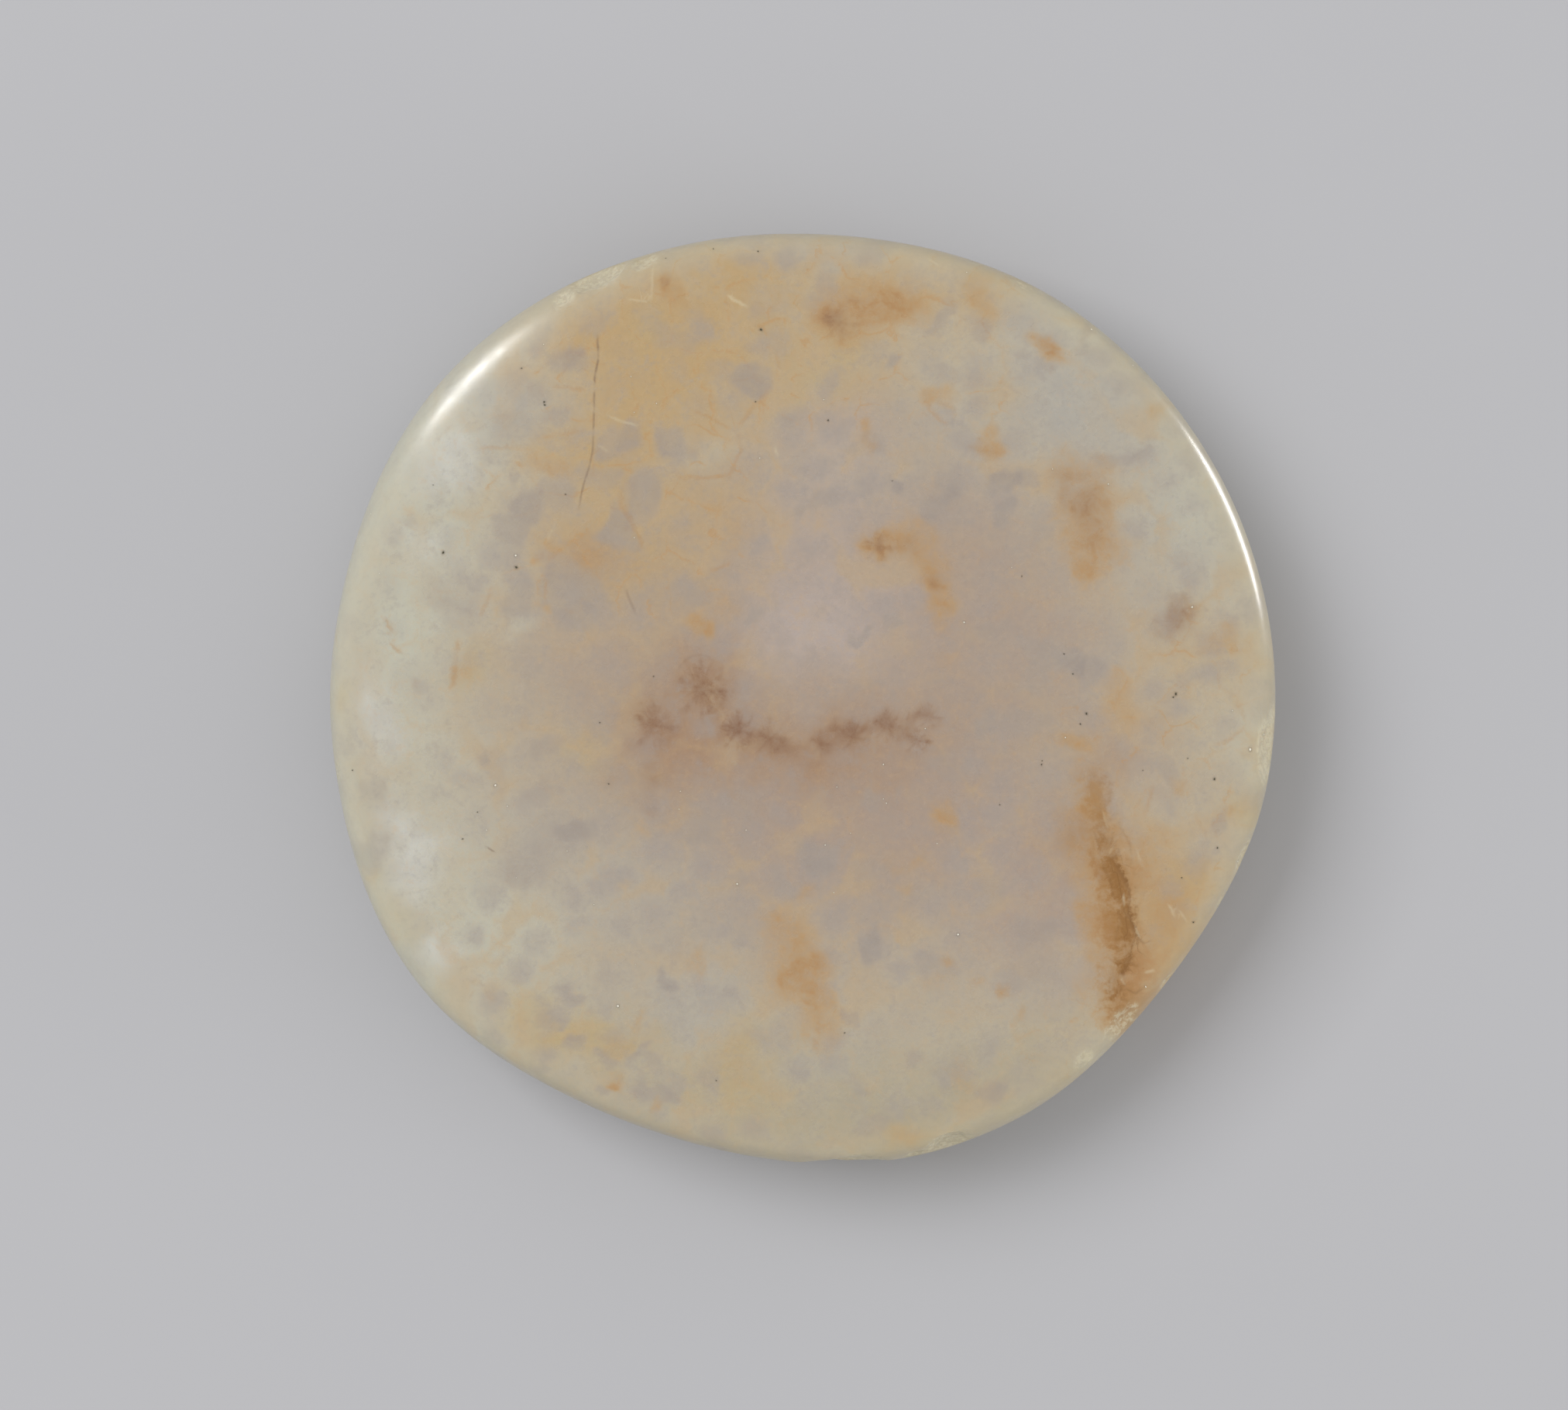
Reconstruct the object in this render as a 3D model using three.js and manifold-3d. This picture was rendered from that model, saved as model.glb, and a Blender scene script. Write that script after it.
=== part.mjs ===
// A flat bead of cloudy agate, one piece of stone lying on its back with its polished face up.
// Lengths are in millimetres. Bearings are in degrees, counter-clockwise from +X as seen from above.
// The origin is on the underside, below the middle of the bead. +X runs along the bore, +Z is up.

import * as THREE from "three";
import { ParametricGeometry } from "three/addons/geometries/ParametricGeometry.js";
import { mergeVertices } from "three/addons/utils/BufferGeometryUtils.js";
import Module from "manifold-3d";

// The stone as a whole.
const beadWidth = 32;
const beadThickness = 5.4;
const faceCrown = 0.1; // how much higher the face is in its middle than at its edge

// The outline is a circle that hand grinding left uneven: a place stands out past the circle, or is
// ground flat where its height is negative, and fades away over its spread in degrees.
const outlinePlaces = [
  { bearing: 87, height: -0.3, spread: 34 },
  { bearing: 139, height: 0.37, spread: 33 },
  { bearing: 214, height: 0.23, spread: 27 },
  { bearing: 252, height: -0.48, spread: 37 },
  { bearing: 323, height: -0.36, spread: 28 },
];

// The rim in section. An edge's rounding runs this far in over the face or the back. Its squareness is
// a superellipse's exponent: 2 is an even round and 4 is nearly a square corner.
const faceEdgeWidth = 1.4;
const backEdgeWidth = 1.2;
const edgeSquareness = 4;

// At the upper left the edge of the face is worn to a wide, even round.
const wornEdgeBearing = 138;
const wornEdgeSpread = 46;
const wornEdgeWidth = 3.1;
const wornEdgeSquareness = 2;

// The bore for the thread, drilled from both sides of the rim in the middle of the thickness. The two
// tapered holes meet inside the stone, a little out of line.
const boreMouthDiameter = 1.9;
const boreMeetingDiameter = 1.2;
const boreOverlap = 0.7; // how far each hole runs on past the middle of the bead
const boreOffset = -1.1; // from the middle of the bead, along Y
const boreMisfit = 0.2; // between the axes of the two holes, along Y

// Flakes broken from the rim. Lift is the angle above level at which a flake came off: 0 is the middle
// of the side and 45 is the edge of the face.
const chips = [
  { bearing: 116, lift: 28, length: 2.4, depth: 0.24 },
  { bearing: 274, lift: 8, length: 3.4, depth: 0.22 },
  { bearing: 288, lift: 34, length: 1.7, depth: 0.26 },
  { bearing: 315, lift: 55, length: 1.7, depth: 0.16 },
  { bearing: 340, lift: 22, length: 1.3, depth: 0.18 },
  { bearing: 354, lift: 42, length: 2.2, depth: 0.12 },
];

// How finely the surfaces are divided.
const bearingSteps = 108;
const backRings = 2;
const rimRings = 18;
const faceRings = 5;
const boreSides = 24;
const chipDetail = 10;

// How far a cutting solid runs out past the stone.
const cutMargin = 1;

const wasm = await Module();
wasm.setup();

// 1 at the centre bearing, easing to 0 at the spread.
function fade(bearing, centre, spread) {
  const away = Math.abs(((bearing - centre + 540) % 360) - 180);
  return away < spread ? 0.5 + 0.5 * Math.cos((Math.PI * away) / spread) : 0;
}

function rimRadius(bearing) {
  return outlinePlaces.reduce(
    (radius, place) => radius + place.height * fade(bearing, place.bearing, place.spread),
    beadWidth / 2,
  );
}

// The face edge's rounding at a bearing.
function faceEdge(bearing) {
  const worn = fade(bearing, wornEdgeBearing, wornEdgeSpread);
  return {
    width: THREE.MathUtils.lerp(faceEdgeWidth, wornEdgeWidth, worn),
    squareness: THREE.MathUtils.lerp(edgeSquareness, wornEdgeSquareness, worn),
  };
}

// A point of the rim's section as [radius, height]. The lift runs from -90 at the back, through 0 in the
// middle of the side, to 90 where the face begins.
function rimPoint(bearing, lift) {
  const middle = beadThickness / 2;
  const overFace = lift > 0;
  const edge = overFace ? faceEdge(bearing) : { width: backEdgeWidth, squareness: edgeSquareness };
  const reach = overFace ? beadThickness - faceCrown - middle : middle;
  const angle = THREE.MathUtils.degToRad(lift);
  const power = 2 / edge.squareness;
  const out = Math.max(0, Math.cos(angle)) ** power;
  const up = Math.abs(Math.sin(angle)) ** power;
  return [
    rimRadius(bearing) - edge.width * (1 - out),
    middle + Math.sign(lift) * reach * up,
  ];
}

// The stone's skin, from the middle of the back, out round the rim and in to the middle of the face.
function skinPoint(turn, share, target) {
  const bearing = (360 * turn) % 360;
  const ring = Math.round(share * (backRings + rimRings + faceRings));
  let radius;
  let height;
  if (ring <= backRings) {
    radius = (rimPoint(bearing, -90)[0] * ring) / backRings;
    height = 0;
  } else if (ring < backRings + rimRings) {
    [radius, height] = rimPoint(bearing, -90 + (180 * (ring - backRings)) / rimRings);
  } else {
    const inward = (ring - backRings - rimRings) / faceRings;
    radius = rimPoint(bearing, 90)[0] * (1 - inward);
    height = beadThickness - faceCrown * (1 - inward) ** 2;
  }
  const angle = THREE.MathUtils.degToRad(bearing);
  target.set(radius * Math.cos(angle), radius * Math.sin(angle), height);
}

// A closed geometry as a solid. Triangles that have no area, such as those at a pole, are left out.
function solidOf(geometry) {
  const bare = new THREE.BufferGeometry();
  bare.setAttribute("position", geometry.getAttribute("position"));
  bare.setIndex(geometry.index);
  const merged = mergeVertices(bare, 1e-4);
  const triVerts = [];
  for (let i = 0; i < merged.index.count; i += 3) {
    const [a, b, c] = [0, 1, 2].map((k) => merged.index.getX(i + k));
    if (a !== b && b !== c && c !== a) {
      triVerts.push(a, b, c);
    }
  }
  return new wasm.Manifold(
    new wasm.Mesh({
      numProp: 3,
      vertProperties: new Float32Array(merged.getAttribute("position").array),
      triVerts: new Uint32Array(triVerts),
    }),
  );
}

function geometryOf(solid) {
  const mesh = solid.getMesh();
  const geometry = new THREE.BufferGeometry();
  geometry.setAttribute("position", new THREE.BufferAttribute(mesh.vertProperties, 3));
  geometry.setIndex(new THREE.BufferAttribute(mesh.triVerts, 1));
  return geometry;
}

function stone() {
  const slices = bearingSteps;
  const stacks = backRings + rimRings + faceRings;
  return solidOf(new ParametricGeometry(skinPoint, slices, stacks));
}

// One tapered hole from the rim to just past the middle. The side is 1 for +X and -1 for -X.
function drilledHole(side) {
  const rim = beadWidth / 2;
  const taper = (boreMouthDiameter - boreMeetingDiameter) / 2 / rim;
  const outer = boreMouthDiameter / 2 + taper * cutMargin;
  const inner = boreMeetingDiameter / 2 - taper * boreOverlap;
  const length = rim + cutMargin + boreOverlap;
  const hole = new THREE.CylinderGeometry(outer, inner, length, boreSides);
  hole.rotateZ((-side * Math.PI) / 2);
  hole.translate(
    side * (rim + cutMargin - length / 2),
    boreOffset + (side * boreMisfit) / 2,
    beadThickness / 2,
  );
  return solidOf(hole);
}

// A flake's scar is a shallow dish: a ball bites into the rim as deep as the flake, and as wide.
function chipScoop(chip) {
  const ball = (chip.length ** 2 / 4 + chip.depth ** 2) / (2 * chip.depth);
  const [radius, height] = rimPoint(chip.bearing, chip.lift);
  const away = ball - chip.depth;
  const lift = THREE.MathUtils.degToRad(chip.lift);
  const bearing = THREE.MathUtils.degToRad(chip.bearing);
  const scoop = new THREE.IcosahedronGeometry(ball, chipDetail);
  const out = radius + away * Math.cos(lift);
  scoop.translate(out * Math.cos(bearing), out * Math.sin(bearing), height + away * Math.sin(lift));
  return solidOf(scoop);
}

function beadGeometry() {
  const cuts = [drilledHole(1), drilledHole(-1), ...chips.map(chipScoop)];
  const cut = cuts.reduce((left, tool) => left.subtract(tool), stone());
  const geometry = geometryOf(cut);
  geometry.computeBoundingBox();
  const middle = geometry.boundingBox.getCenter(new THREE.Vector3());
  geometry.translate(-middle.x, -middle.y, -geometry.boundingBox.min.z);
  return geometry;
}

const agate = new THREE.MeshStandardMaterial({
  name: "agate",
  color: 0xc3b8a6,
  roughness: 0.28,
  metalness: 0,
});

const bead = new THREE.Mesh(beadGeometry(), agate);
bead.name = "bead";

const part = new THREE.Group();
part.name = "flat_bead";
part.add(bead);

export default part;
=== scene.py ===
import math

import bpy
import numpy as np
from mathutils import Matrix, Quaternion, Vector, noise


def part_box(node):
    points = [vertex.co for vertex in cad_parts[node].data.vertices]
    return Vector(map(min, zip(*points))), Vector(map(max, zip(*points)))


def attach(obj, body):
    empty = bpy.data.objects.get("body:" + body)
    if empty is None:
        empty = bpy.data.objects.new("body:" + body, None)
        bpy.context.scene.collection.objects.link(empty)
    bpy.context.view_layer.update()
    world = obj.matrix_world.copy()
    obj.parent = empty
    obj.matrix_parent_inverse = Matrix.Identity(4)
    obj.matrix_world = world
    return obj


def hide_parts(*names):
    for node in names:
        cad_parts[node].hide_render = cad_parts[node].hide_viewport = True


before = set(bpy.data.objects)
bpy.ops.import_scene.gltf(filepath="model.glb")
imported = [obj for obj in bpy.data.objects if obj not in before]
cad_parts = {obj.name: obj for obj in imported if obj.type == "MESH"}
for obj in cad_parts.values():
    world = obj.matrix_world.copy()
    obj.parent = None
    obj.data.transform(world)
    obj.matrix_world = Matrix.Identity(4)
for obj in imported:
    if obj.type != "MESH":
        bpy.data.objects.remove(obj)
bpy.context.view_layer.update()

# A flat bead of cloudy agate, lying on its back, seen from above.
# Shapes are worked out in millimetres and turned into metres when a mesh is made. Bearings are in
# degrees, counter-clockwise from +X.
mm = 0.001
scene = bpy.context.scene


# The bead's form

bead = {
    "crown": 0.1,  # how much higher the face is in its middle
    "waviness": 0.0025,  # hand grinding left the face and the side slightly uneven
    "evenBelow": 0.6,  # the back and its edge stay even up to this height
    "places": [  # where the outline leaves its circle: bearing, height, spread
        (87, -0.3, 34),
        (139, 0.37, 33),
        (214, 0.23, 27),
        (252, -0.48, 37),
        (323, -0.36, 28),
    ],
    "faceEdge": 1.4,  # how far the rounding of an edge runs in
    "backEdge": 1.2,
    "squareness": 4.0,
    "wornBearing": 138,  # the wide, even round at the upper left
    "wornSpread": 46,
    "wornEdge": 3.1,
    "wornSquareness": 2.0,
    "chips": [  # bearing, lift, length, depth
        (116, 28, 2.4, 0.24),
        (110, 40, 1.0, 0.12),
        (121, 38, 0.9, 0.10),
        (274, 8, 3.4, 0.22),
        (276, 18, 2.3, 0.17),
        (271, 0, 1.7, 0.11),
        (288, 34, 1.7, 0.26),
        (284, 30, 0.8, 0.12),
        (315, 55, 1.7, 0.12),
        (308, 58, 0.9, 0.08),
        (322, 26, 0.7, 0.10),
        (334, 30, 0.5, 0.08),
        (340, 22, 1.3, 0.18),
        (351, 34, 0.9, 0.08),
        (354, 42, 2.2, 0.12),
        (358, 30, 0.7, 0.07),
        (189, 32, 0.6, 0.07),
        (62, 40, 0.6, 0.05),
    ],
    "ragged": 0.05,  # how uneven a chip's scar is
    "raggedFrom": 0.12,  # a chip this deep has the whole of that unevenness
    "ripple": 0.006,  # the rings in a scar, and how closely they follow one another
    "ripples": 22,
    "sharpAngle": 38,
    "bearings": 520,
    "rimRings": 54,
    "faceRings": 96,
    "backRings": 7,
}

bore = {
    "mouth": 1.9,
    "meeting": 1.2,
    "overlap": 0.7,  # how far each hole runs on past the middle
    "offset": -1.1,
    "misfit": 0.2,
    "lip": 0.5,  # the thread has worn the mouths round this far out
    "lipDepth": 0.28,
    "groove": 0.018,  # the drill's turning marks
    "grooveStep": 0.42,
    "sides": 56,
    "rings": 90,
}

low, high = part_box("bead")
circle = (high.x - low.x) / mm / 2
thickness = (high.z - low.z) / mm
random = np.random.default_rng(7)


def fade(bearing, centre, spread):  # 1 at the centre bearing, easing to 0 at the spread
    away = np.abs((bearing - centre + 540) % 360 - 180)
    return np.where(away < spread, 0.5 + 0.5 * np.cos(np.pi * away / spread), 0.0)


def rimRadius(bearing):
    radius = np.full_like(bearing, circle)
    for centre, height, spread in bead["places"]:
        radius = radius + height * fade(bearing, centre, spread)
    return radius


def rimPoint(bearing, lift):  # lift runs from -90 at the back, round the side, to 90 at the face
    worn = fade(bearing, bead["wornBearing"], bead["wornSpread"])
    overFace = lift > 0
    faceEdge = bead["faceEdge"] + (bead["wornEdge"] - bead["faceEdge"]) * worn
    faceSquareness = bead["squareness"] + (bead["wornSquareness"] - bead["squareness"]) * worn
    edge = np.where(overFace, faceEdge, bead["backEdge"])
    power = 2 / np.where(overFace, faceSquareness, bead["squareness"])
    middle = thickness / 2
    reach = np.where(overFace, middle - bead["crown"], middle)
    out = np.clip(np.cos(np.radians(lift)), 0, 1) ** power
    up = np.abs(np.sin(np.radians(lift))) ** power
    return rimRadius(bearing) - edge * (1 - out), middle + np.sign(lift) * reach * up


def evenLifts(count):  # lifts that stand about as far apart along the rim's section
    lift = np.linspace(-90, 90, 4001)
    plain = (bead["wornBearing"] + 180) % 360
    radius, height = rimPoint(np.full_like(lift, plain), lift)
    run = np.concatenate([[0], np.cumsum(np.hypot(np.diff(radius), np.diff(height)))])
    return np.interp(np.linspace(0, run[-1], count), run, lift)


def waves(points, size, count):  # a smooth uneven surface: sines of random direction, about -1 to 1
    total = np.zeros(len(points))
    for k in range(count):
        across = random.normal(size=3)
        across *= 2 * np.pi / (size * random.uniform(0.7, 1.6)) / np.linalg.norm(across)
        total += np.sin(points @ across + random.uniform(0, 2 * np.pi))
    return total / math.sqrt(count / 2)


def skinPoints():
    bearing = np.linspace(0, 360, bead["bearings"], endpoint=False)[None, :]
    backRadius, _ = rimPoint(bearing, np.array([[-90.0]]))
    faceRadius, faceHeight = rimPoint(bearing, np.array([[90.0]]))
    backShare = (np.arange(1, bead["backRings"]) / bead["backRings"])[:, None]
    faceShare = (np.arange(bead["faceRings"] - 1, 0, -1) / bead["faceRings"])[:, None]
    lifts = evenLifts(bead["rimRings"])[:, None]
    rimR, rimZ = rimPoint(bearing + 0 * lifts, lifts + 0 * bearing)
    radius = np.concatenate([backShare * backRadius, rimR, faceShare * faceRadius])
    height = np.concatenate([
        0 * backShare * backRadius,
        rimZ,
        faceHeight + bead["crown"] * (1 - faceShare**2),
    ])
    turn = np.radians(bearing) + 0 * radius
    points = np.stack([radius * np.cos(turn), radius * np.sin(turn), height], axis=-1)
    poles = np.array([[0, 0, 0], [0, 0, thickness]])
    return np.concatenate([points.reshape(-1, 3), poles]), len(radius)


def skinFaces(rings):
    count = bead["bearings"]
    here = np.arange(count)
    after = np.roll(here, -1)
    faces = []
    for ring in range(rings - 1):
        inner, outer = ring * count, (ring + 1) * count
        faces += np.stack([inner + here, inner + after, outer + after, outer + here], 1).tolist()
    back, top = rings * count, rings * count + 1
    last = (rings - 1) * count
    faces += [[back, int(b), int(a)] for a, b in zip(here, after)]
    faces += [[top, int(last + a), int(last + b)] for a, b in zip(here, after)]
    return faces


def chipped(points):  # flakes leave shallow hollow scars: what is inside a ball moves out to its skin
    scar = np.zeros(len(points))
    for bearing, lift, length, depth in bead["chips"]:
        ball = (length**2 / 4 + depth**2) / (2 * depth)
        radius, height = rimPoint(np.array(float(bearing)), np.array(float(lift)))
        out = radius + (ball - depth) * math.cos(math.radians(lift))
        up = height + (ball - depth) * math.sin(math.radians(lift))
        turn = math.radians(bearing)
        middle = np.array([out * math.cos(turn), out * math.sin(turn), up])
        away = points - middle
        far = np.linalg.norm(away, axis=1)
        for i in np.nonzero(far < ball + bead["ragged"])[0]:
            place = Vector(points[i])
            uneven = noise.fractal(place * 1.6 + Vector((bearing, 0, 0)), 0.8, 2.1, 4)
            aside = (place - Vector(middle)).xy.angle_signed(Vector((1, 0)))
            ripple = bead["ripple"] * math.sin(aside * ball * bead["ripples"])
            skin = ball + bead["ragged"] * uneven * min(1, depth / bead["raggedFrom"]) + ripple
            if far[i] < skin:
                points[i] = middle + away[i] * skin / far[i]
                scar[i] = max(scar[i], min(1, (skin - far[i]) / (0.25 * depth)))
    return scar


def wornMouths(points):  # the thread has rounded the bore's mouths
    for side in (-1, 1):
        acrossY = points[:, 1] - bore["offset"] - side * bore["misfit"] / 2
        acrossZ = points[:, 2] - thickness / 2
        off = np.hypot(acrossY, acrossZ) - bore["mouth"] / 2
        near = np.clip(1 - off / bore["lip"], 0, 1) ** 2
        atRim = (side * points[:, 0] > circle / 2) & (off < bore["lip"])
        points[:, 0] -= np.where(atRim, side * near * bore["lipDepth"], 0)


def makeMesh(name, points, faces):
    mesh = bpy.data.meshes.new(name)
    mesh.from_pydata((points * mm).tolist(), [], faces)
    mesh.update()
    thing = bpy.data.objects.new(name, mesh)
    scene.collection.objects.link(thing)
    return thing


def drilledHole(side):  # one tapered hole, from outside the rim to just past the middle
    far, near = circle + 1, -bore["overlap"]
    along = np.linspace(near, far, bore["rings"])
    share = along / circle
    radius = (bore["meeting"] + (bore["mouth"] - bore["meeting"]) * share) / 2
    marks = np.sin(2 * np.pi * along / bore["grooveStep"])
    radius = radius + bore["groove"] * marks
    turn = np.linspace(0, 2 * np.pi, bore["sides"], endpoint=False)
    points = []
    for x, r in zip(along, radius):
        ring = [side * x + 0 * turn, r * np.cos(turn) * side, r * np.sin(turn)]
        points.append(np.stack(ring, axis=-1))
    points = np.concatenate(points)
    points[:, 1] += bore["offset"] + side * bore["misfit"] / 2
    points[:, 2] += thickness / 2
    sides = bore["sides"]
    faces = [list(range(sides))[::-1]]
    for ring in range(bore["rings"] - 1):
        for a in range(sides):
            b = (a + 1) % sides
            inner, outer = ring * sides, (ring + 1) * sides
            faces.append([inner + a, inner + b, outer + b, outer + a])
    last = (bore["rings"] - 1) * sides
    faces.append([last + a for a in range(sides)])
    return makeMesh("drilledHole", points, faces)


def makeBead(agate, drilled):
    points, rings = skinPoints()
    broad = waves(points, 9.0, 12) + 0.5 * waves(points, 4.0, 12)
    lifted = (points[:, 2] > bead["evenBelow"])[:, None]
    outward = points * [1, 1, 0]
    outward /= np.maximum(np.linalg.norm(outward, axis=1, keepdims=True), 1e-6)
    onFace = np.clip((points[:, 2:] - thickness + 1) / 0.9, 0, 1)
    points += lifted * bead["waviness"] * broad[:, None] * (
        onFace * [0, 0, 1] + (1 - onFace) * outward)
    wornMouths(points)
    scar = chipped(points)
    body = makeMesh("agate_bead", points, skinFaces(rings))
    body.data.attributes.new("scar", "FLOAT", "POINT").data.foreach_set("value", scar)
    body.data.materials.append(agate)
    for side in (-1, 1):
        hole = drilledHole(side)
        hole.data.materials.append(drilled)
        cut = body.modifiers.new("bore", "BOOLEAN")
        cut.operation = "DIFFERENCE"
        cut.solver = "EXACT"
        cut.material_mode = "TRANSFER"
        cut.object = hole
        bpy.context.view_layer.update()
        shaped = body.evaluated_get(bpy.context.evaluated_depsgraph_get())
        cutMesh = bpy.data.meshes.new_from_object(shaped)
        body.modifiers.clear()
        body.data = cutMesh
        bpy.data.objects.remove(hole)
    fitToFrame(body)
    paintFields(body)
    body.data.shade_smooth()
    body.data.set_sharp_from_angle(angle=math.radians(bead["sharpAngle"]))
    return body


def pointsOf(body):
    points = np.zeros(len(body.data.vertices) * 3)
    body.data.vertices.foreach_get("co", points)
    return points.reshape(-1, 3)


def fitToFrame(body):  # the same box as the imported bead, to a hair
    points = pointsOf(body)
    own = points.min(axis=0), points.max(axis=0)
    scale = (np.array(high) - np.array(low)) / (own[1] - own[0])
    points = (points - own[0]) * scale + np.array(low)
    body.data.vertices.foreach_set("co", points.ravel())
    body.data.update()


# Node helpers

def addNode(tree, kind, settings=(), **links):  # _0 is the node's first socket, From_Min its "From Min"
    node = tree.nodes.new(kind)
    for name, value in dict(settings).items():
        setattr(node, name, value)
    for name, value in links.items():
        socket = node.inputs[int(name[1:]) if name[1:].isdigit() else name.replace("_", " ")]
        if isinstance(value, bpy.types.NodeSocket):
            tree.links.new(value, socket)
        else:
            socket.default_value = value
    return node


def sums(tree, operation, a, b=0.0, c=0.0):
    return addNode(tree, "ShaderNodeMath", {"operation": operation}, _0=a, _1=b, _2=c).outputs[0]


def times(tree, a, b):
    return sums(tree, "MULTIPLY", a, b)


def ramp(tree, value, fromLow, fromHigh, toLow=0.0, toHigh=1.0, ease="SMOOTHSTEP"):
    settings = {"interpolation_type": ease}
    return addNode(tree, "ShaderNodeMapRange", settings, Value=value, From_Min=fromLow,
                   From_Max=fromHigh, To_Min=toLow, To_Max=toHigh).outputs[0]


def mixColour(tree, share, a, b):
    settings = {"data_type": "RGBA", "blend_type": "MIX"}
    return addNode(tree, "ShaderNodeMix", settings, _0=share, _6=a, _7=b).outputs[2]


def clouds(tree, place, scale, detail=3.0, roughness=0.5):
    return addNode(tree, "ShaderNodeTexNoise", Vector=place, Scale=scale, Detail=detail,
                   Roughness=roughness).outputs[0]


def scaled(tree, vector, scale):
    settings = {"operation": "SCALE"}
    return addNode(tree, "ShaderNodeVectorMath", settings, Vector=vector, Scale=scale).outputs[0]


def placeInMm(tree):
    raw = addNode(tree, "ShaderNodeTexCoord").outputs["Object"]
    return scaled(tree, raw, 1 / mm)


def lengthOf(tree, x, y):  # the flat vector of x and y, and its length
    flat = addNode(tree, "ShaderNodeCombineXYZ", X=x, Y=y).outputs[0]
    return flat, addNode(tree, "ShaderNodeVectorMath", {"operation": "LENGTH"}, _0=flat).outputs[1]


def newGroup(name, inputs, outputs):
    group = bpy.data.node_groups.new(name, "ShaderNodeTree")
    for label, kind, value in inputs:
        group.interface.new_socket(label, in_out="INPUT", socket_type=kind).default_value = value
    for label, kind in outputs:
        group.interface.new_socket(label, in_out="OUTPUT", socket_type=kind)
    return group, group.nodes.new("NodeGroupInput").outputs, group.nodes.new("NodeGroupOutput").inputs


def srgb(red, green, blue):  # a colour given as on a screen, 0 to 255
    linear = [c / 12.92 if c <= 0.04045 else ((c + 0.055) / 1.055) ** 2.4
              for c in (red / 255, green / 255, blue / 255)]
    return (*linear, 1.0)


# The agate's pattern. Places are in millimetres from the middle of the bead.

agate = {
    "core": srgb(170, 152, 133),  # warm mauve-grey in the middle
    "outer": srgb(187, 178, 158),  # paler towards the edge, where the stone lets light through
    "warm": srgb(188, 160, 122),  # the fine mottling
    "cool": srgb(163, 155, 150),
    "mottling": 0.26,
    "cell": srgb(161, 152, 147),
    "cellEdge": srgb(188, 164, 128),
    "vein": srgb(186, 144, 92),
    # Painted glow of light coming through the thin edge, paler and cooler on the left, towards the light:
    "rim": srgb(184, 176, 148),
    "coolRimGlow": srgb(188, 190, 174),
    "scar": srgb(212, 205, 178),
    "cellSize": 1.5,
    "rimWidth": 1.5,
    "lean": 0.3,  # how far a stain drifts sideways for each millimetre of depth
}
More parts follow.
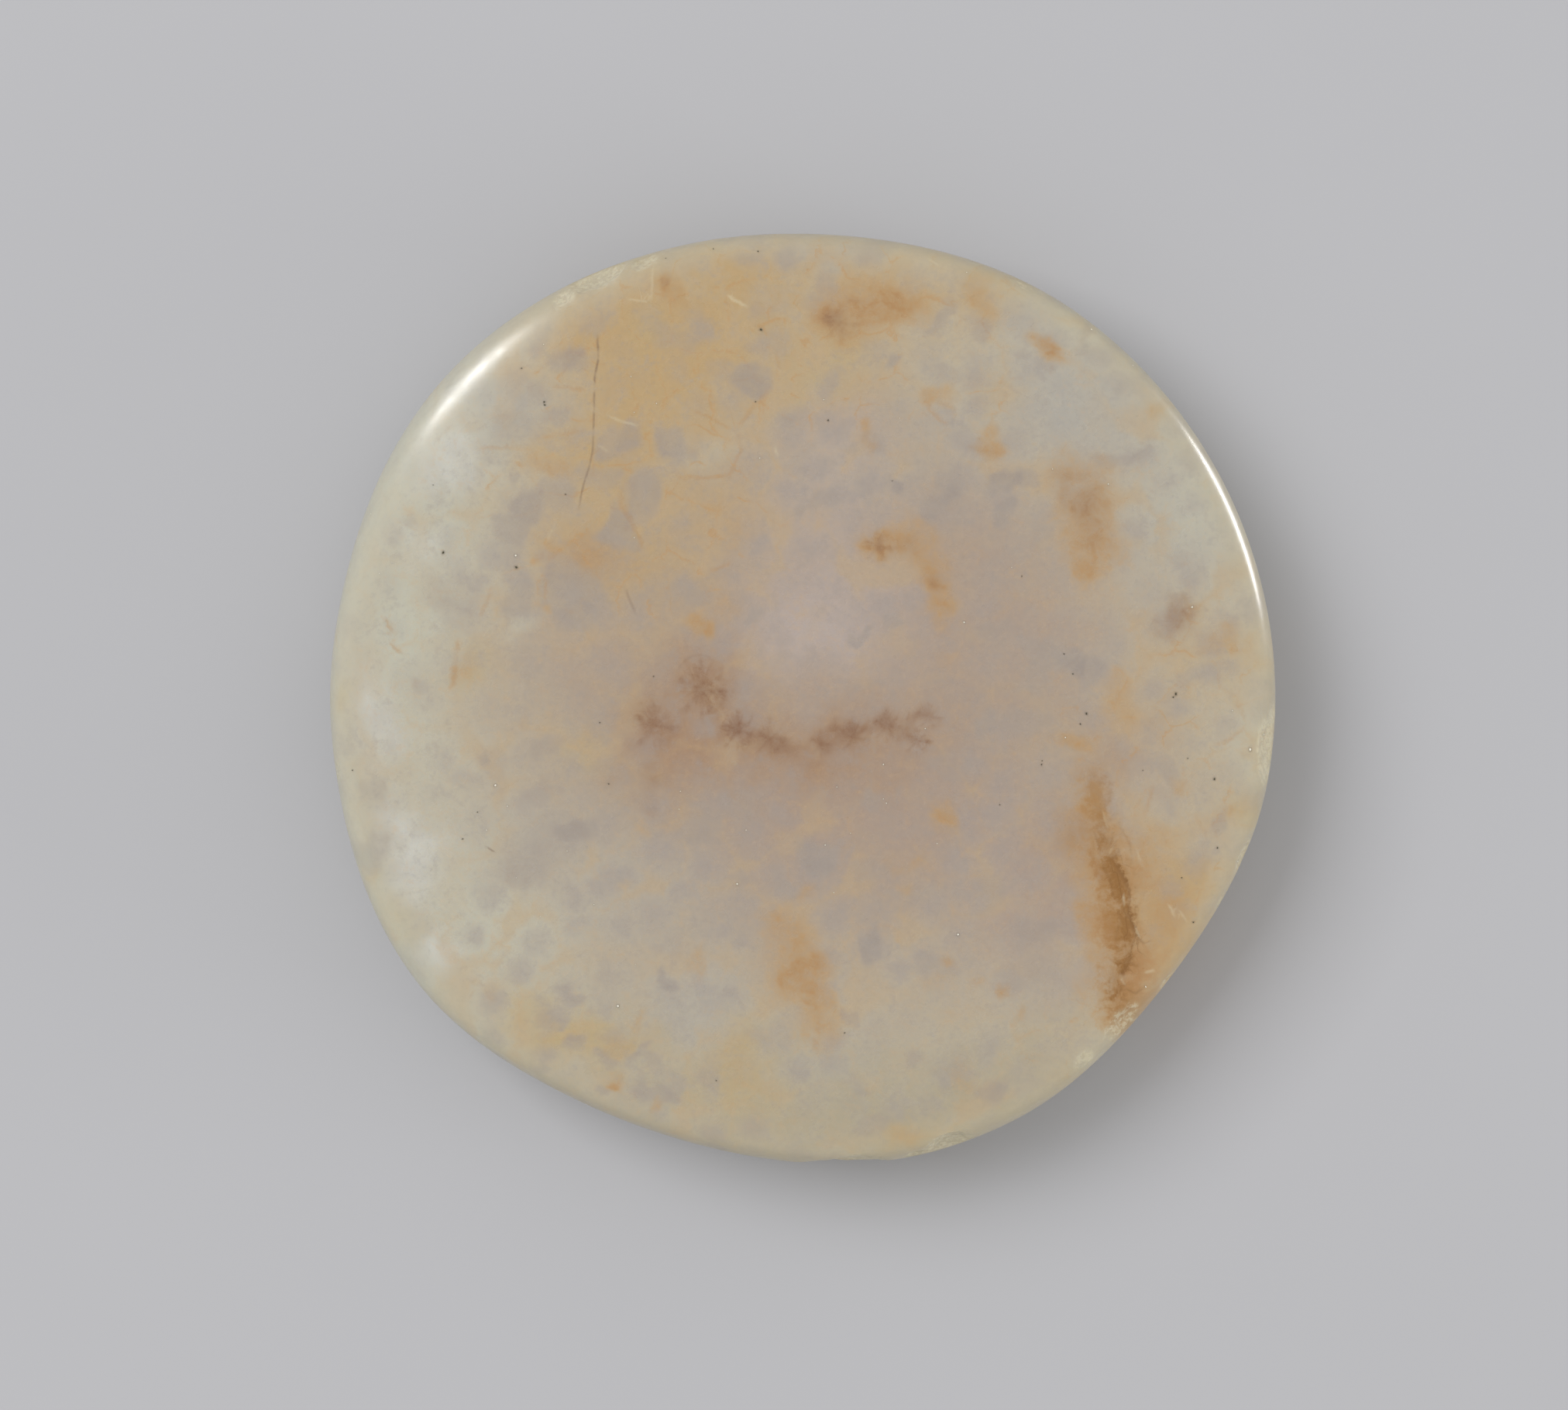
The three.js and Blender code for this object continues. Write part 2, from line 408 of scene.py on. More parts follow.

# Soft clouds in the stone, two of them partly painted light and shade: a colour, how much of it covers, and
# spots. A spot is x, y, half length, half width, turn and strength.
softClouds = {
    "tan": (srgb(187, 160, 116), 0.95, [
        (3.0, 13.9, 4.6, 2.0, -8, 0.6), (-7.4, 12.4, 2.4, 1.8, 30, 0.45), (-1.6, 14.4, 3.0, 1.6, 0, 0.4),
        (-3.4, 12.6, 5.6, 3.8, 0, 0.8), (-5.2, 10.0, 4.4, 4.8, 10, 0.6), (1.2, 11.0, 4.4, 3.2, 20, 0.5),
        (-7.2, 4.6, 3.6, 3.2, 0, 0.45), (-4.8, 5.6, 4.4, 3.6, 0, 0.4), (-6.8, 8.4, 3.6, 4.0, 0, 0.35),
        (-2.2, 6.4, 2.0, 3.6, 0, 0.35), (10.8, -1.2, 3.6, 2.8, 0, 0.45), (13.6, 1.6, 2.6, 1.9, -20, 0.5),
        (9.6, -11.4, 4.6, 2.4, 40, 0.3), (12.9, -5.8, 2.4, 4.4, -20, 0.65),
        (12.2, -7.0, 1.6, 2.8, -20, 0.8), (12.6, -8.6, 1.2, 1.4, 0, 0.5), (6.4, 10.4, 1.6, 1.2, 0, 0.55),
        (6.2, 13.4, 1.8, 1.4, 0, 0.5), (-10.8, 6.9, 1.2, 1.0, 0, 0.5), (-8.3, 8.4, 2.4, 1.0, 0, 0.35),
        (1.0, 0.8, 1.4, 0.8, 0, 0.1),
    ]),
    "mauve": (srgb(168, 149, 137), 0.8, [
        (5.6, -4.0, 7.6, 6.0, 0, 0.6), (-0.6, -4.4, 6.0, 4.6, 0, 0.5), (8.0, 2.4, 5.0, 4.6, 0, 0.55),
        (3.6, 3.6, 4.6, 3.4, 0, 0.35), (8.4, -7.6, 3.6, 4.4, 0, 0.7), (11.0, -1.6, 2.4, 2.6, 0, 0.35),
        (-7.2, 1.6, 3.2, 2.2, 0, 0.35), (5.8, 6.4, 3.4, 3.0, 0, 0.45), (1.6, 9.0, 3.4, 2.2, 0, 0.3),
    ]),
    # Greenish-grey along the bottom edge: partly the stone's own tone and partly painted shade, the bottom
    # edge darker where it got less light.
    "low": (srgb(173, 163, 139), 0.9, [
        (1.4, -13.8, 8.6, 3.6, 0, 0.9), (-6.2, -12.2, 5.6, 3.2, -28, 0.4), (7.2, -12.6, 5.4, 2.8, 30, 0.5),
    ]),
    "yellow": (srgb(186, 166, 124), 0.9, [
        (-8.2, -11.2, 2.6, 1.3, -10, 0.8), (-6.0, -11.4, 2.0, 1.0, 0, 0.7), (-2.2, -12.5, 2.5, 2.4, 0, 0.8),
        (-9.6, -10.2, 1.2, 1.0, 0, 0.4), (-13.4, -7.5, 1.6, 1.4, 0, 0.5), (-14.6, -6.0, 0.8, 1.4, 20, 0.55),
        (-15.7, 0.0, 0.9, 0.9, 0, 0.8), (-11.2, 1.2, 1.2, 1.4, 0, 0.6), (3.4, -14.7, 1.6, 0.9, 10, 0.6),
        (1.3, 11.9, 1.3, 1.0, 0, 0.6), (0.2, 10.6, 1.3, 0.7, 0, 0.6), (15.0, -3.9, 1.2, 0.9, 0, 0.6),
        (-7.5, -1.8, 1.3, 1.1, 0, 0.5), (-5.3, 12.3, 1.0, 1.2, 0, 0.4),
    ]),
    "blue": (srgb(174, 171, 163), 0.9, [
        (9.2, 9.8, 4.2, 3.0, -30, 0.9), (4.6, 8.6, 3.6, 3.0, 0, 0.2), (12.6, 5.6, 2.6, 3.4, 0, 0.5),
        (0.6, 14.8, 1.9, 1.0, 0, 0.7), (-3.6, -10.2, 3.2, 2.0, 20, 0.55), (-5.4, -6.4, 5.0, 3.6, 0, 0.4),
        (7.4, 12.7, 1.6, 1.0, -20, 0.5), (-10.3, 9.8, 2.2, 1.9, 0, 0.8), (13.4, -4.4, 1.6, 1.6, 0, 0.4),
        (-9.2, -4.2, 3.0, 2.2, 0, 0.3), (0.6, -12.4, 3.0, 1.6, 0, 0.35),
    ]),
    "eye": (srgb(181, 168, 160), 0.95, [
        (0.5, 2.4, 4.4, 3.2, 0, 0.95), (0.6, 6.4, 4.0, 3.6, 0, 0.5), (1.4, 9.0, 2.6, 2.0, 0, 0.3),
    ]),
    # Broad pale patches, mostly the stone's own milky tone; those along the left edge also hold painted
    # light, the side towards the light painted lighter.
    "paleAndPaintedLight": (srgb(192, 191, 175), 0.9, [
        (-12.6, 6.4, 3.4, 5.6, -22, 0.85), (-13.2, -1.0, 2.4, 5.6, 5, 0.6),
        (-11.6, -7.0, 3.4, 4.4, 30, 0.6), (-13.2, 2.4, 2.2, 2.2, 0, 0.6), (-9.6, -8.0, 3.6, 3.0, 0, 0.3),
        (13.2, 6.6, 1.6, 3.4, 20, 0.6), (9.6, 12.4, 1.8, 1.0, -35, 0.6), (14.9, -1.6, 1.2, 2.2, 10, 0.5),
        (9.6, -12.2, 1.2, 1.0, 0, 0.4), (-3.1, 8.2, 1.2, 0.9, 0, 0.35), (-9.6, 2.4, 0.9, 0.7, 0, 0.5),
    ]),
    "milk": (srgb(206, 207, 201), 0.9, [
        (-13.1, -5.2, 1.3, 1.4, 15, 0.75), (-12.4, -8.6, 1.0, 0.7, 0, 0.8), (-14.4, -0.5, 1.2, 2.2, 0, 0.6),
        (-13.8, -4.2, 1.0, 0.8, 0, 0.55), (-12.3, 8.3, 1.5, 1.6, -30, 0.5), (-12.8, -6.6, 1.0, 1.0, 0, 0.4),
        (-11.4, 7.8, 1.2, 1.2, 0, 0.4), (-12.8, 5.2, 1.4, 1.2, 0, 0.35),
    ]),
    "rosy": (srgb(166, 137, 111), 0.95, [
        (-7.2, 4.7, 1.6, 1.1, 0, 0.55), (0.4, -1.7, 5.8, 2.1, 3, 0.9), (-4.2, -1.2, 3.0, 2.6, 0, 0.85),
        (-3.4, 0.9, 2.0, 1.5, 0, 0.75), (9.5, -5.0, 2.0, 2.4, 0, 0.6), (10.0, -2.2, 1.6, 1.8, 0, 0.4),
    ]),
}

# Small stains with ragged edges: a colour, a deeper colour for their middle, how much they cover, and
# spots.
sharpStains = {
    "grey": (srgb(163, 153, 144), srgb(147, 138, 134), 0.55, [
        (-7.8, 11.3, 0.9, 0.7, 0, 0.9), (-9.4, 10.6, 0.9, 0.8, 0, 0.5), (-8.4, 9.5, 0.6, 0.5, 0, 0.6),
        (-9.8, 9.2, 1.0, 0.9, 0, 0.5), (-6.0, 8.8, 1.1, 0.7, 0, 0.8), (-4.1, 8.5, 0.8, 0.7, 30, 0.9),
        (-1.8, 10.8, 1.0, 0.7, 20, 0.9), (-0.6, 9.5, 0.5, 0.4, 0, 0.7), (-6.8, 7.5, 0.8, 0.7, 0, 0.6),
        (-9.7, 7.5, 0.4, 0.3, 0, 0.6), (-5.2, 6.8, 1.0, 0.9, 0, 0.8), (-9.6, 5.9, 1.0, 1.2, 0, 0.9),
        (-6.2, 5.7, 0.8, 1.1, 0, 0.9), (-8.4, 6.7, 0.9, 0.7, 0, 0.6), (-13.4, 6.0, 0.5, 0.5, 0, 0.5),
        (-8.2, 4.5, 0.7, 0.6, 0, 0.6), (-7.6, 3.5, 1.4, 1.0, 0, 0.8), (-9.6, 3.3, 0.8, 0.8, 0, 0.7),
        (-11.8, 3.5, 1.1, 0.8, 0, 0.4), (-11.7, 2.7, 0.8, 0.6, 0, 0.35), (-4.0, 3.6, 0.9, 0.5, 0, 0.6),
        (-1.7, 2.6, 0.6, 0.4, 30, 0.7), (-0.2, 8.0, 0.5, 0.5, 0, 0.5), (-4.3, 12.1, 0.9, 0.7, 0, 0.5),
        (-7.2, 12.5, 0.7, 0.5, 0, 0.6), (-1.9, 14.8, 0.7, 0.5, 0, 0.5), (-9.2, 1.1, 0.7, 0.5, 0, 0.4),
        (4.5, 12.6, 0.7, 0.3, 35, 0.7), (5.7, 12.5, 0.6, 0.5, 0, 0.6), (4.9, 13.2, 0.4, 0.3, 0, 0.4),
        (9.3, 12.1, 0.25, 0.8, 0, 0.8), (7.4, 11.4, 0.3, 0.3, 0, 0.6), (8.2, 11.1, 0.35, 0.3, 0, 0.7),
        (3.0, 11.1, 0.5, 0.3, 0, 0.8), (4.8, 10.8, 0.6, 0.6, 0, 0.6), (10.7, 8.1, 1.2, 0.3, 5, 0.7),
        (11.4, 8.1, 0.8, 0.4, 20, 0.4), (2.4, 8.6, 0.6, 0.5, 0, 0.7), (3.2, 7.2, 0.4, 0.4, 0, 1.1),
        (1.2, 8.9, 0.5, 0.4, 0, 0.6), (1.6, 8.3, 0.4, 0.3, 0, 0.6), (5.0, 7.1, 0.5, 0.7, 0, 0.7),
        (6.6, 7.2, 0.8, 0.5, 0, 0.9), (7.5, 7.2, 0.7, 0.5, 0, 0.8), (6.7, 6.2, 0.6, 0.6, 0, 0.9),
        (1.9, 6.6, 0.4, 0.4, 0, 0.6), (4.4, 6.4, 0.9, 0.8, 0, 0.7), (0.4, 6.5, 0.9, 0.5, 30, 0.7),
        (4.2, 5.9, 0.4, 0.3, 0, 0.5), (7.9, 5.4, 0.4, 0.4, 0, 0.6), (3.1, 2.7, 0.4, 0.3, 0, 0.8),
        (2.1, 2.4, 0.6, 0.3, 20, 0.8), (12.6, 4.8, 0.5, 0.6, 0, 0.4), (8.4, 1.3, 1.2, 0.8, 0, 0.7),
        (9.6, 1.1, 0.8, 0.8, 0, 0.8), (7.8, 0.4, 0.6, 0.6, 0, 0.6), (13.3, 0.6, 1.0, 0.6, 0, 0.6),
        (6.6, 2.0, 0.9, 0.6, 0, 0.6), (6.1, -0.8, 0.5, 0.6, 0, 1.0), (7.5, -0.8, 1.3, 0.5, 0, 0.6),
        (4.7, -2.3, 0.9, 0.6, 0, 0.5), (2.3, -3.2, 0.7, 0.4, 0, 0.7), (0.5, -5.3, 0.9, 0.8, 0, 0.9),
        (2.3, -5.8, 0.9, 0.5, 0, 0.5), (6.3, -6.5, 0.9, 0.8, 0, 0.6), (3.4, -6.6, 0.9, 0.5, 0, 0.5),
        (7.9, -7.8, 1.1, 0.7, 10, 0.7), (2.3, -8.2, 0.6, 0.8, 0, 1.0), (7.4, -9.2, 1.4, 0.9, 0, 0.6),
        (4.3, -9.1, 1.0, 0.5, 0, 0.6), (1.4, -10.6, 0.4, 0.4, 0, 0.7), (3.7, -11.9, 0.5, 0.5, 0, 0.6),
        (6.3, -13.0, 0.7, 0.6, 0, 0.7), (7.5, -13.1, 0.5, 0.5, 0, 0.5), (1.8, -13.1, 0.4, 0.4, 0, 0.6),
        (2.2, -14.4, 0.8, 0.5, 0, 0.6), (12.2, -2.2, 0.5, 0.4, 0, 0.7), (14.1, -4.3, 0.4, 0.5, 0, 0.6),
        (-8.6, -3.1, 0.9, 0.5, 0, 0.6), (-10.9, -2.0, 0.4, 0.4, 0, 0.6), (-10.4, -2.3, 0.8, 0.8, 0, 0.4),
        (-8.5, -1.8, 0.6, 0.5, 0, 0.6), (-8.8, -5.0, 2.2, 1.5, 20, 0.45), (-9.3, -5.5, 1.0, 0.8, 0, 0.25),
        (-7.7, -4.5, 1.0, 0.5, 0, 0.6), (-3.4, -4.3, 0.7, 0.6, 0, 0.7), (-2.2, -3.6, 0.9, 0.7, 0, 0.6),
        (-2.3, -5.9, 0.4, 0.5, 0, 0.7), (-0.8, -6.4, 0.5, 0.4, 0, 0.6), (-14.8, -5.1, 0.8, 1.0, 0, 0.9),
        (-14.6, -3.1, 0.7, 0.6, 0, 0.5), (-2.1, -8.4, 0.35, 0.35, 0, 0.9), (-4.4, -9.4, 0.35, 0.3, 0, 1.0),
        (-4.3, -8.4, 0.5, 0.5, 0, 0.5), (-6.4, -9.3, 0.5, 0.5, 0, 0.4), (-8.1, -10.0, 0.4, 0.3, 0, 0.7),
        (-7.5, -10.0, 0.35, 0.3, 0, 0.7), (-8.2, -10.7, 0.35, 0.3, 0, 0.8), (-8.8, -10.4, 0.3, 0.3, 0, 0.6),
        (-7.6, -11.6, 0.5, 0.4, 0, 0.8), (-6.6, -11.9, 0.5, 0.3, 0, 0.8), (-5.6, -12.1, 0.35, 0.3, 0, 0.9),
        (-5.1, -11.9, 0.4, 0.35, 0, 0.8), (-4.9, -12.5, 0.4, 0.4, 0, 0.7), (-6.9, -13.2, 0.35, 0.3, 0, 0.7),
        (-5.4, -13.2, 0.4, 0.4, 0, 0.8), (-4.6, -13.3, 0.6, 0.5, 0, 0.7), (-2.4, -10.1, 0.35, 0.3, 0, 0.6),
        (-12.6, 0.6, 0.5, 0.4, 0, 0.5),
    ]),
    "orange": (srgb(183, 150, 106), srgb(168, 122, 72), 0.85, [
        (1.2, 12.7, 1.5, 1.2, 0, 1.2), (3.0, 13.4, 1.8, 1.1, 10, 0.5), (1.1, 12.9, 0.5, 0.4, 0, 0.7),
        (1.9, 13.1, 0.5, 0.3, 0, 0.5), (2.9, 12.9, 1.5, 0.8, 0, 0.7), (2.3, 13.7, 0.8, 0.7, 0, 0.6),
        (3.3, 13.6, 0.8, 0.6, 0, 0.7), (6.0, 13.5, 1.0, 1.1, 0, 0.6), (7.8, 12.2, 0.6, 0.5, 0, 0.6),
        (8.3, 12.0, 0.5, 0.35, -20, 0.7), (8.4, 11.6, 0.7, 0.5, 0, 0.6), (4.4, 10.2, 0.6, 0.4, 0, 0.5),
        (4.5, 9.6, 0.3, 0.8, 35, 0.6), (2.0, 9.0, 0.5, 0.4, 0, 0.55), (2.2, 8.5, 0.3, 0.8, 20, 0.5),
        (5.8, 8.9, 0.5, 0.5, 0, 0.7), (5.9, 8.3, 0.9, 0.5, 0, 1.0), (6.2, 8.3, 0.4, 0.5, 0, 0.6),
        (12.0, 9.8, 0.6, 0.9, 20, 0.6), (9.5, 6.6, 1.9, 2.4, 0, 0.8), (10.0, 5.0, 1.4, 1.3, 0, 0.55),
        (8.9, 5.4, 1.0, 1.6, 0, 0.3), (9.4, 4.2, 0.5, 0.7, 0, 0.4), (2.5, 5.1, 0.9, 1.0, 0, 0.9),
        (2.5, 5.2, 0.35, 0.5, 0, 0.7), (3.4, 5.3, 1.5, 0.9, 0, 0.7), (4.3, 4.3, 0.9, 1.4, 0, 0.7),
        (4.4, 3.8, 0.5, 0.3, 0, 0.9), (4.6, 3.0, 0.7, 0.8, 0, 0.75), (14.3, 2.5, 0.6, 0.5, 0, 0.6),
        (14.0, 1.9, 1.4, 0.6, 5, 0.45), (11.4, 2.8, 0.9, 0.7, 0, 0.35), (4.6, 1.4, 0.6, 0.8, 0, 0.3),
        (10.9, 0.4, 1.0, 0.7, 0, 0.4), (12.8, 0.1, 1.0, 0.5, 0, 0.35), (-4.4, 13.6, 0.7, 0.7, 0, 0.8),
        (-4.4, 13.7, 0.3, 0.3, 0, 0.9), (-8.3, 7.7, 1.2, 0.6, -10, 0.6), (-8.2, 5.1, 0.5, 0.5, 0, 0.5),
        (-7.1, 4.7, 1.0, 0.8, 0, 0.35), (-5.9, 4.7, 0.8, 0.7, 0, 0.35), (-3.0, 6.4, 0.5, 0.6, 0, 0.4),
        (-2.3, 5.6, 0.6, 1.3, 0, 0.35), (-8.6, 3.0, 0.4, 0.3, 0, 0.8), (-3.7, 2.5, 0.6, 0.6, 0, 0.9),
        (-3.5, 2.3, 0.35, 0.3, 0, 0.7), (-2.8, 3.2, 0.8, 0.8, 0, 0.4), (-11.3, 1.2, 0.8, 0.9, 0, 0.4),
        (-8.9, -11.0, 1.4, 0.7, 0, 0.2), (-5.9, -11.5, 1.6, 0.8, 0, 0.35), (-5.4, -10.8, 0.4, 0.3, 0, 0.5),
        (-10.4, -9.7, 0.8, 0.4, 0, 0.4), (-6.4, -12.8, 0.8, 0.7, 0, 0.55), (-6.5, -13.1, 0.35, 0.3, 0, 0.6),
        (-5.0, -13.6, 0.25, 0.5, 0, 0.9), (-2.6, -11.8, 1.2, 0.8, 0, 0.25), (-1.9, -12.7, 1.2, 1.2, 0, 0.2),
        (-0.3, -8.8, 1.4, 2.2, 8, 0.9), (-0.4, -9.1, 0.6, 1.0, 0, 0.3), (0.5, -10.6, 1.1, 1.8, 8, 0.7),
        (-0.3, -6.3, 0.5, 0.6, 0, 0.5), (-1.1, -7.6, 0.5, 0.5, 0, 0.5), (-3.4, -8.7, 0.4, 0.6, -20, 0.4),
        (-5.3, -4.3, 0.4, 0.6, 0, 0.4), (-5.8, -6.4, 0.5, 0.5, 0, 0.35), (-7.5, -1.5, 0.8, 0.7, 0, 0.35),
        (-9.3, -0.8, 0.4, 0.5, 0, 0.4), (9.0, -1.4, 1.1, 0.3, -5, 0.7), (8.8, -1.6, 0.5, 0.3, 0, 0.6),
        (4.8, -4.1, 1.0, 0.9, 0, 0.5), (5.1, -4.0, 0.4, 0.5, 0, 0.4), (3.5, -5.4, 0.5, 0.4, 0, 0.5),
        (3.0, -5.6, 0.5, 0.4, 0, 0.4), (3.3, -6.4, 0.4, 0.4, 0, 0.5), (5.7, -9.2, 0.5, 0.4, 0, 0.5),
        (6.8, -9.7, 0.3, 0.4, 0, 0.7), (4.6, -8.9, 0.5, 0.3, 0, 0.6), (4.3, -9.6, 0.7, 0.6, 0, 0.35),
        (7.3, -10.6, 0.5, 0.35, 20, 0.5), (5.6, -12.8, 0.9, 0.8, 0, 0.35), (3.4, -14.7, 1.1, 0.7, 10, 0.5),
        (11.0, -0.5, 1.5, 0.8, 0, 0.5), (12.6, -2.6, 0.6, 0.35, -20, 0.6), (14.5, -4.0, 0.5, 0.4, 0, 0.7),
        (15.0, -3.8, 0.6, 0.5, 0, 0.4), (9.7, -3.3, 0.8, 0.9, 20, 0.7), (9.9, -3.8, 0.5, 0.6, 0, 0.5),
        (10.3, -4.5, 0.8, 0.8, 0, 0.8), (10.0, -5.8, 1.4, 1.9, 0, 1.0), (10.1, -8.4, 1.3, 2.6, 0, 0.8),
        (10.9, -6.6, 0.7, 1.4, 0, 0.6), (10.8, -8.0, 0.8, 1.4, 0, 0.9), (10.8, -9.6, 0.8, 1.2, 0, 1.0),
        (11.2, -10.5, 1.3, 1.3, 0, 1.0), (11.8, -8.4, 1.7, 2.4, -30, 0.65), (11.5, -5.6, 1.2, 2.6, 10, 0.6),
        (9.0, -4.6, 1.3, 2.0, 0, 0.35), (12.6, -7.6, 1.0, 1.4, 20, 0.2), (11.4, -9.8, 1.3, 1.3, 0, 0.8),
        (10.4, -10.9, 0.7, 0.8, 0, 0.5), (10.4, 7.8, 0.4, 0.4, 0, 0.4),
    ]),
    "brown": (srgb(150, 118, 92), srgb(124, 84, 56), 0.8, [
        (9.3, 6.9, 1.4, 1.3, 0, 0.5), (9.6, 5.6, 1.2, 1.4, 0, 0.35), (12.6, 2.9, 0.9, 0.7, 30, 0.75),
        (12.1, 2.2, 0.7, 0.6, 0, 0.4), (3.6, 5.1, 1.0, 0.7, 0, 0.35), (4.4, 3.9, 0.6, 0.9, 0, 0.35),
        (1.1, 12.7, 0.9, 0.6, 20, 0.35), (1.2, 12.5, 0.5, 0.5, 0, 0.35), (1.9, 13.2, 0.5, 0.25, 0, 0.4),
        (2.5, 5.2, 0.3, 0.4, 0, 0.7), (-4.4, 13.7, 0.3, 0.25, 0, 0.9), (8.3, 12.0, 0.4, 0.25, -20, 0.15),
        (-5.0, -1.0, 1.5, 1.5, 10, 0.45), (-3.3, 0.2, 1.4, 1.2, 0, 0.4), (-3.4, 1.0, 1.1, 0.8, 0, 0.2),
        (-2.2, -1.2, 0.9, 0.8, 0, 0.6), (-1.1, -1.4, 1.0, 0.7, 0, 0.65), (-0.3, -1.6, 1.2, 0.6, 0, 0.35),
        (0.8, -1.3, 0.9, 0.45, 10, 0.55), (1.8, -1.4, 1.2, 0.6, 5, 0.8), (2.9, -0.9, 0.9, 0.5, 25, 0.8),
        (3.8, -1.3, 0.6, 0.5, 0, 0.7), (4.1, -0.8, 0.6, 0.6, 0, 0.6), (-4.9, -2.7, 0.8, 0.5, 0, 0.5),
        (-5.3, -3.4, 0.7, 0.6, 0, 0.35), (9.3, -4.8, 1.2, 1.6, 0, 0.35), (10.3, -5.6, 0.5, 0.6, 0, 0.4),
        (10.9, -7.8, 0.5, 0.7, 0, 0.2), (10.5, -9.2, 0.4, 0.6, 0, 0.35), (11.1, -10.6, 0.5, 0.4, 0, 0.2),
        (-6.4, -2.5, 0.8, 0.7, 0, 0.25),
    ]),
}

# Brown growths that branch out from a point: x, y, reach and strength.
stars = [
    (-5.0, -0.9, 1.2, 0.7), (-3.4, 0.3, 1.4, 0.95), (-2.2, -1.1, 1.0, 1.0), (-1.1, -1.3, 0.9, 0.6),
    (0.6, -1.5, 0.65, 0.55), (1.7, -1.3, 0.9, 0.65), (2.8, -0.9, 0.8, 0.7), (3.8, -1.4, 0.7, 1.0),
    (4.2, -0.6, 0.7, 0.5), (1.2, 12.6, 0.9, 0.4), (5.9, 8.3, 0.7, 0.3), (2.5, 5.1, 0.8, 0.5),
]

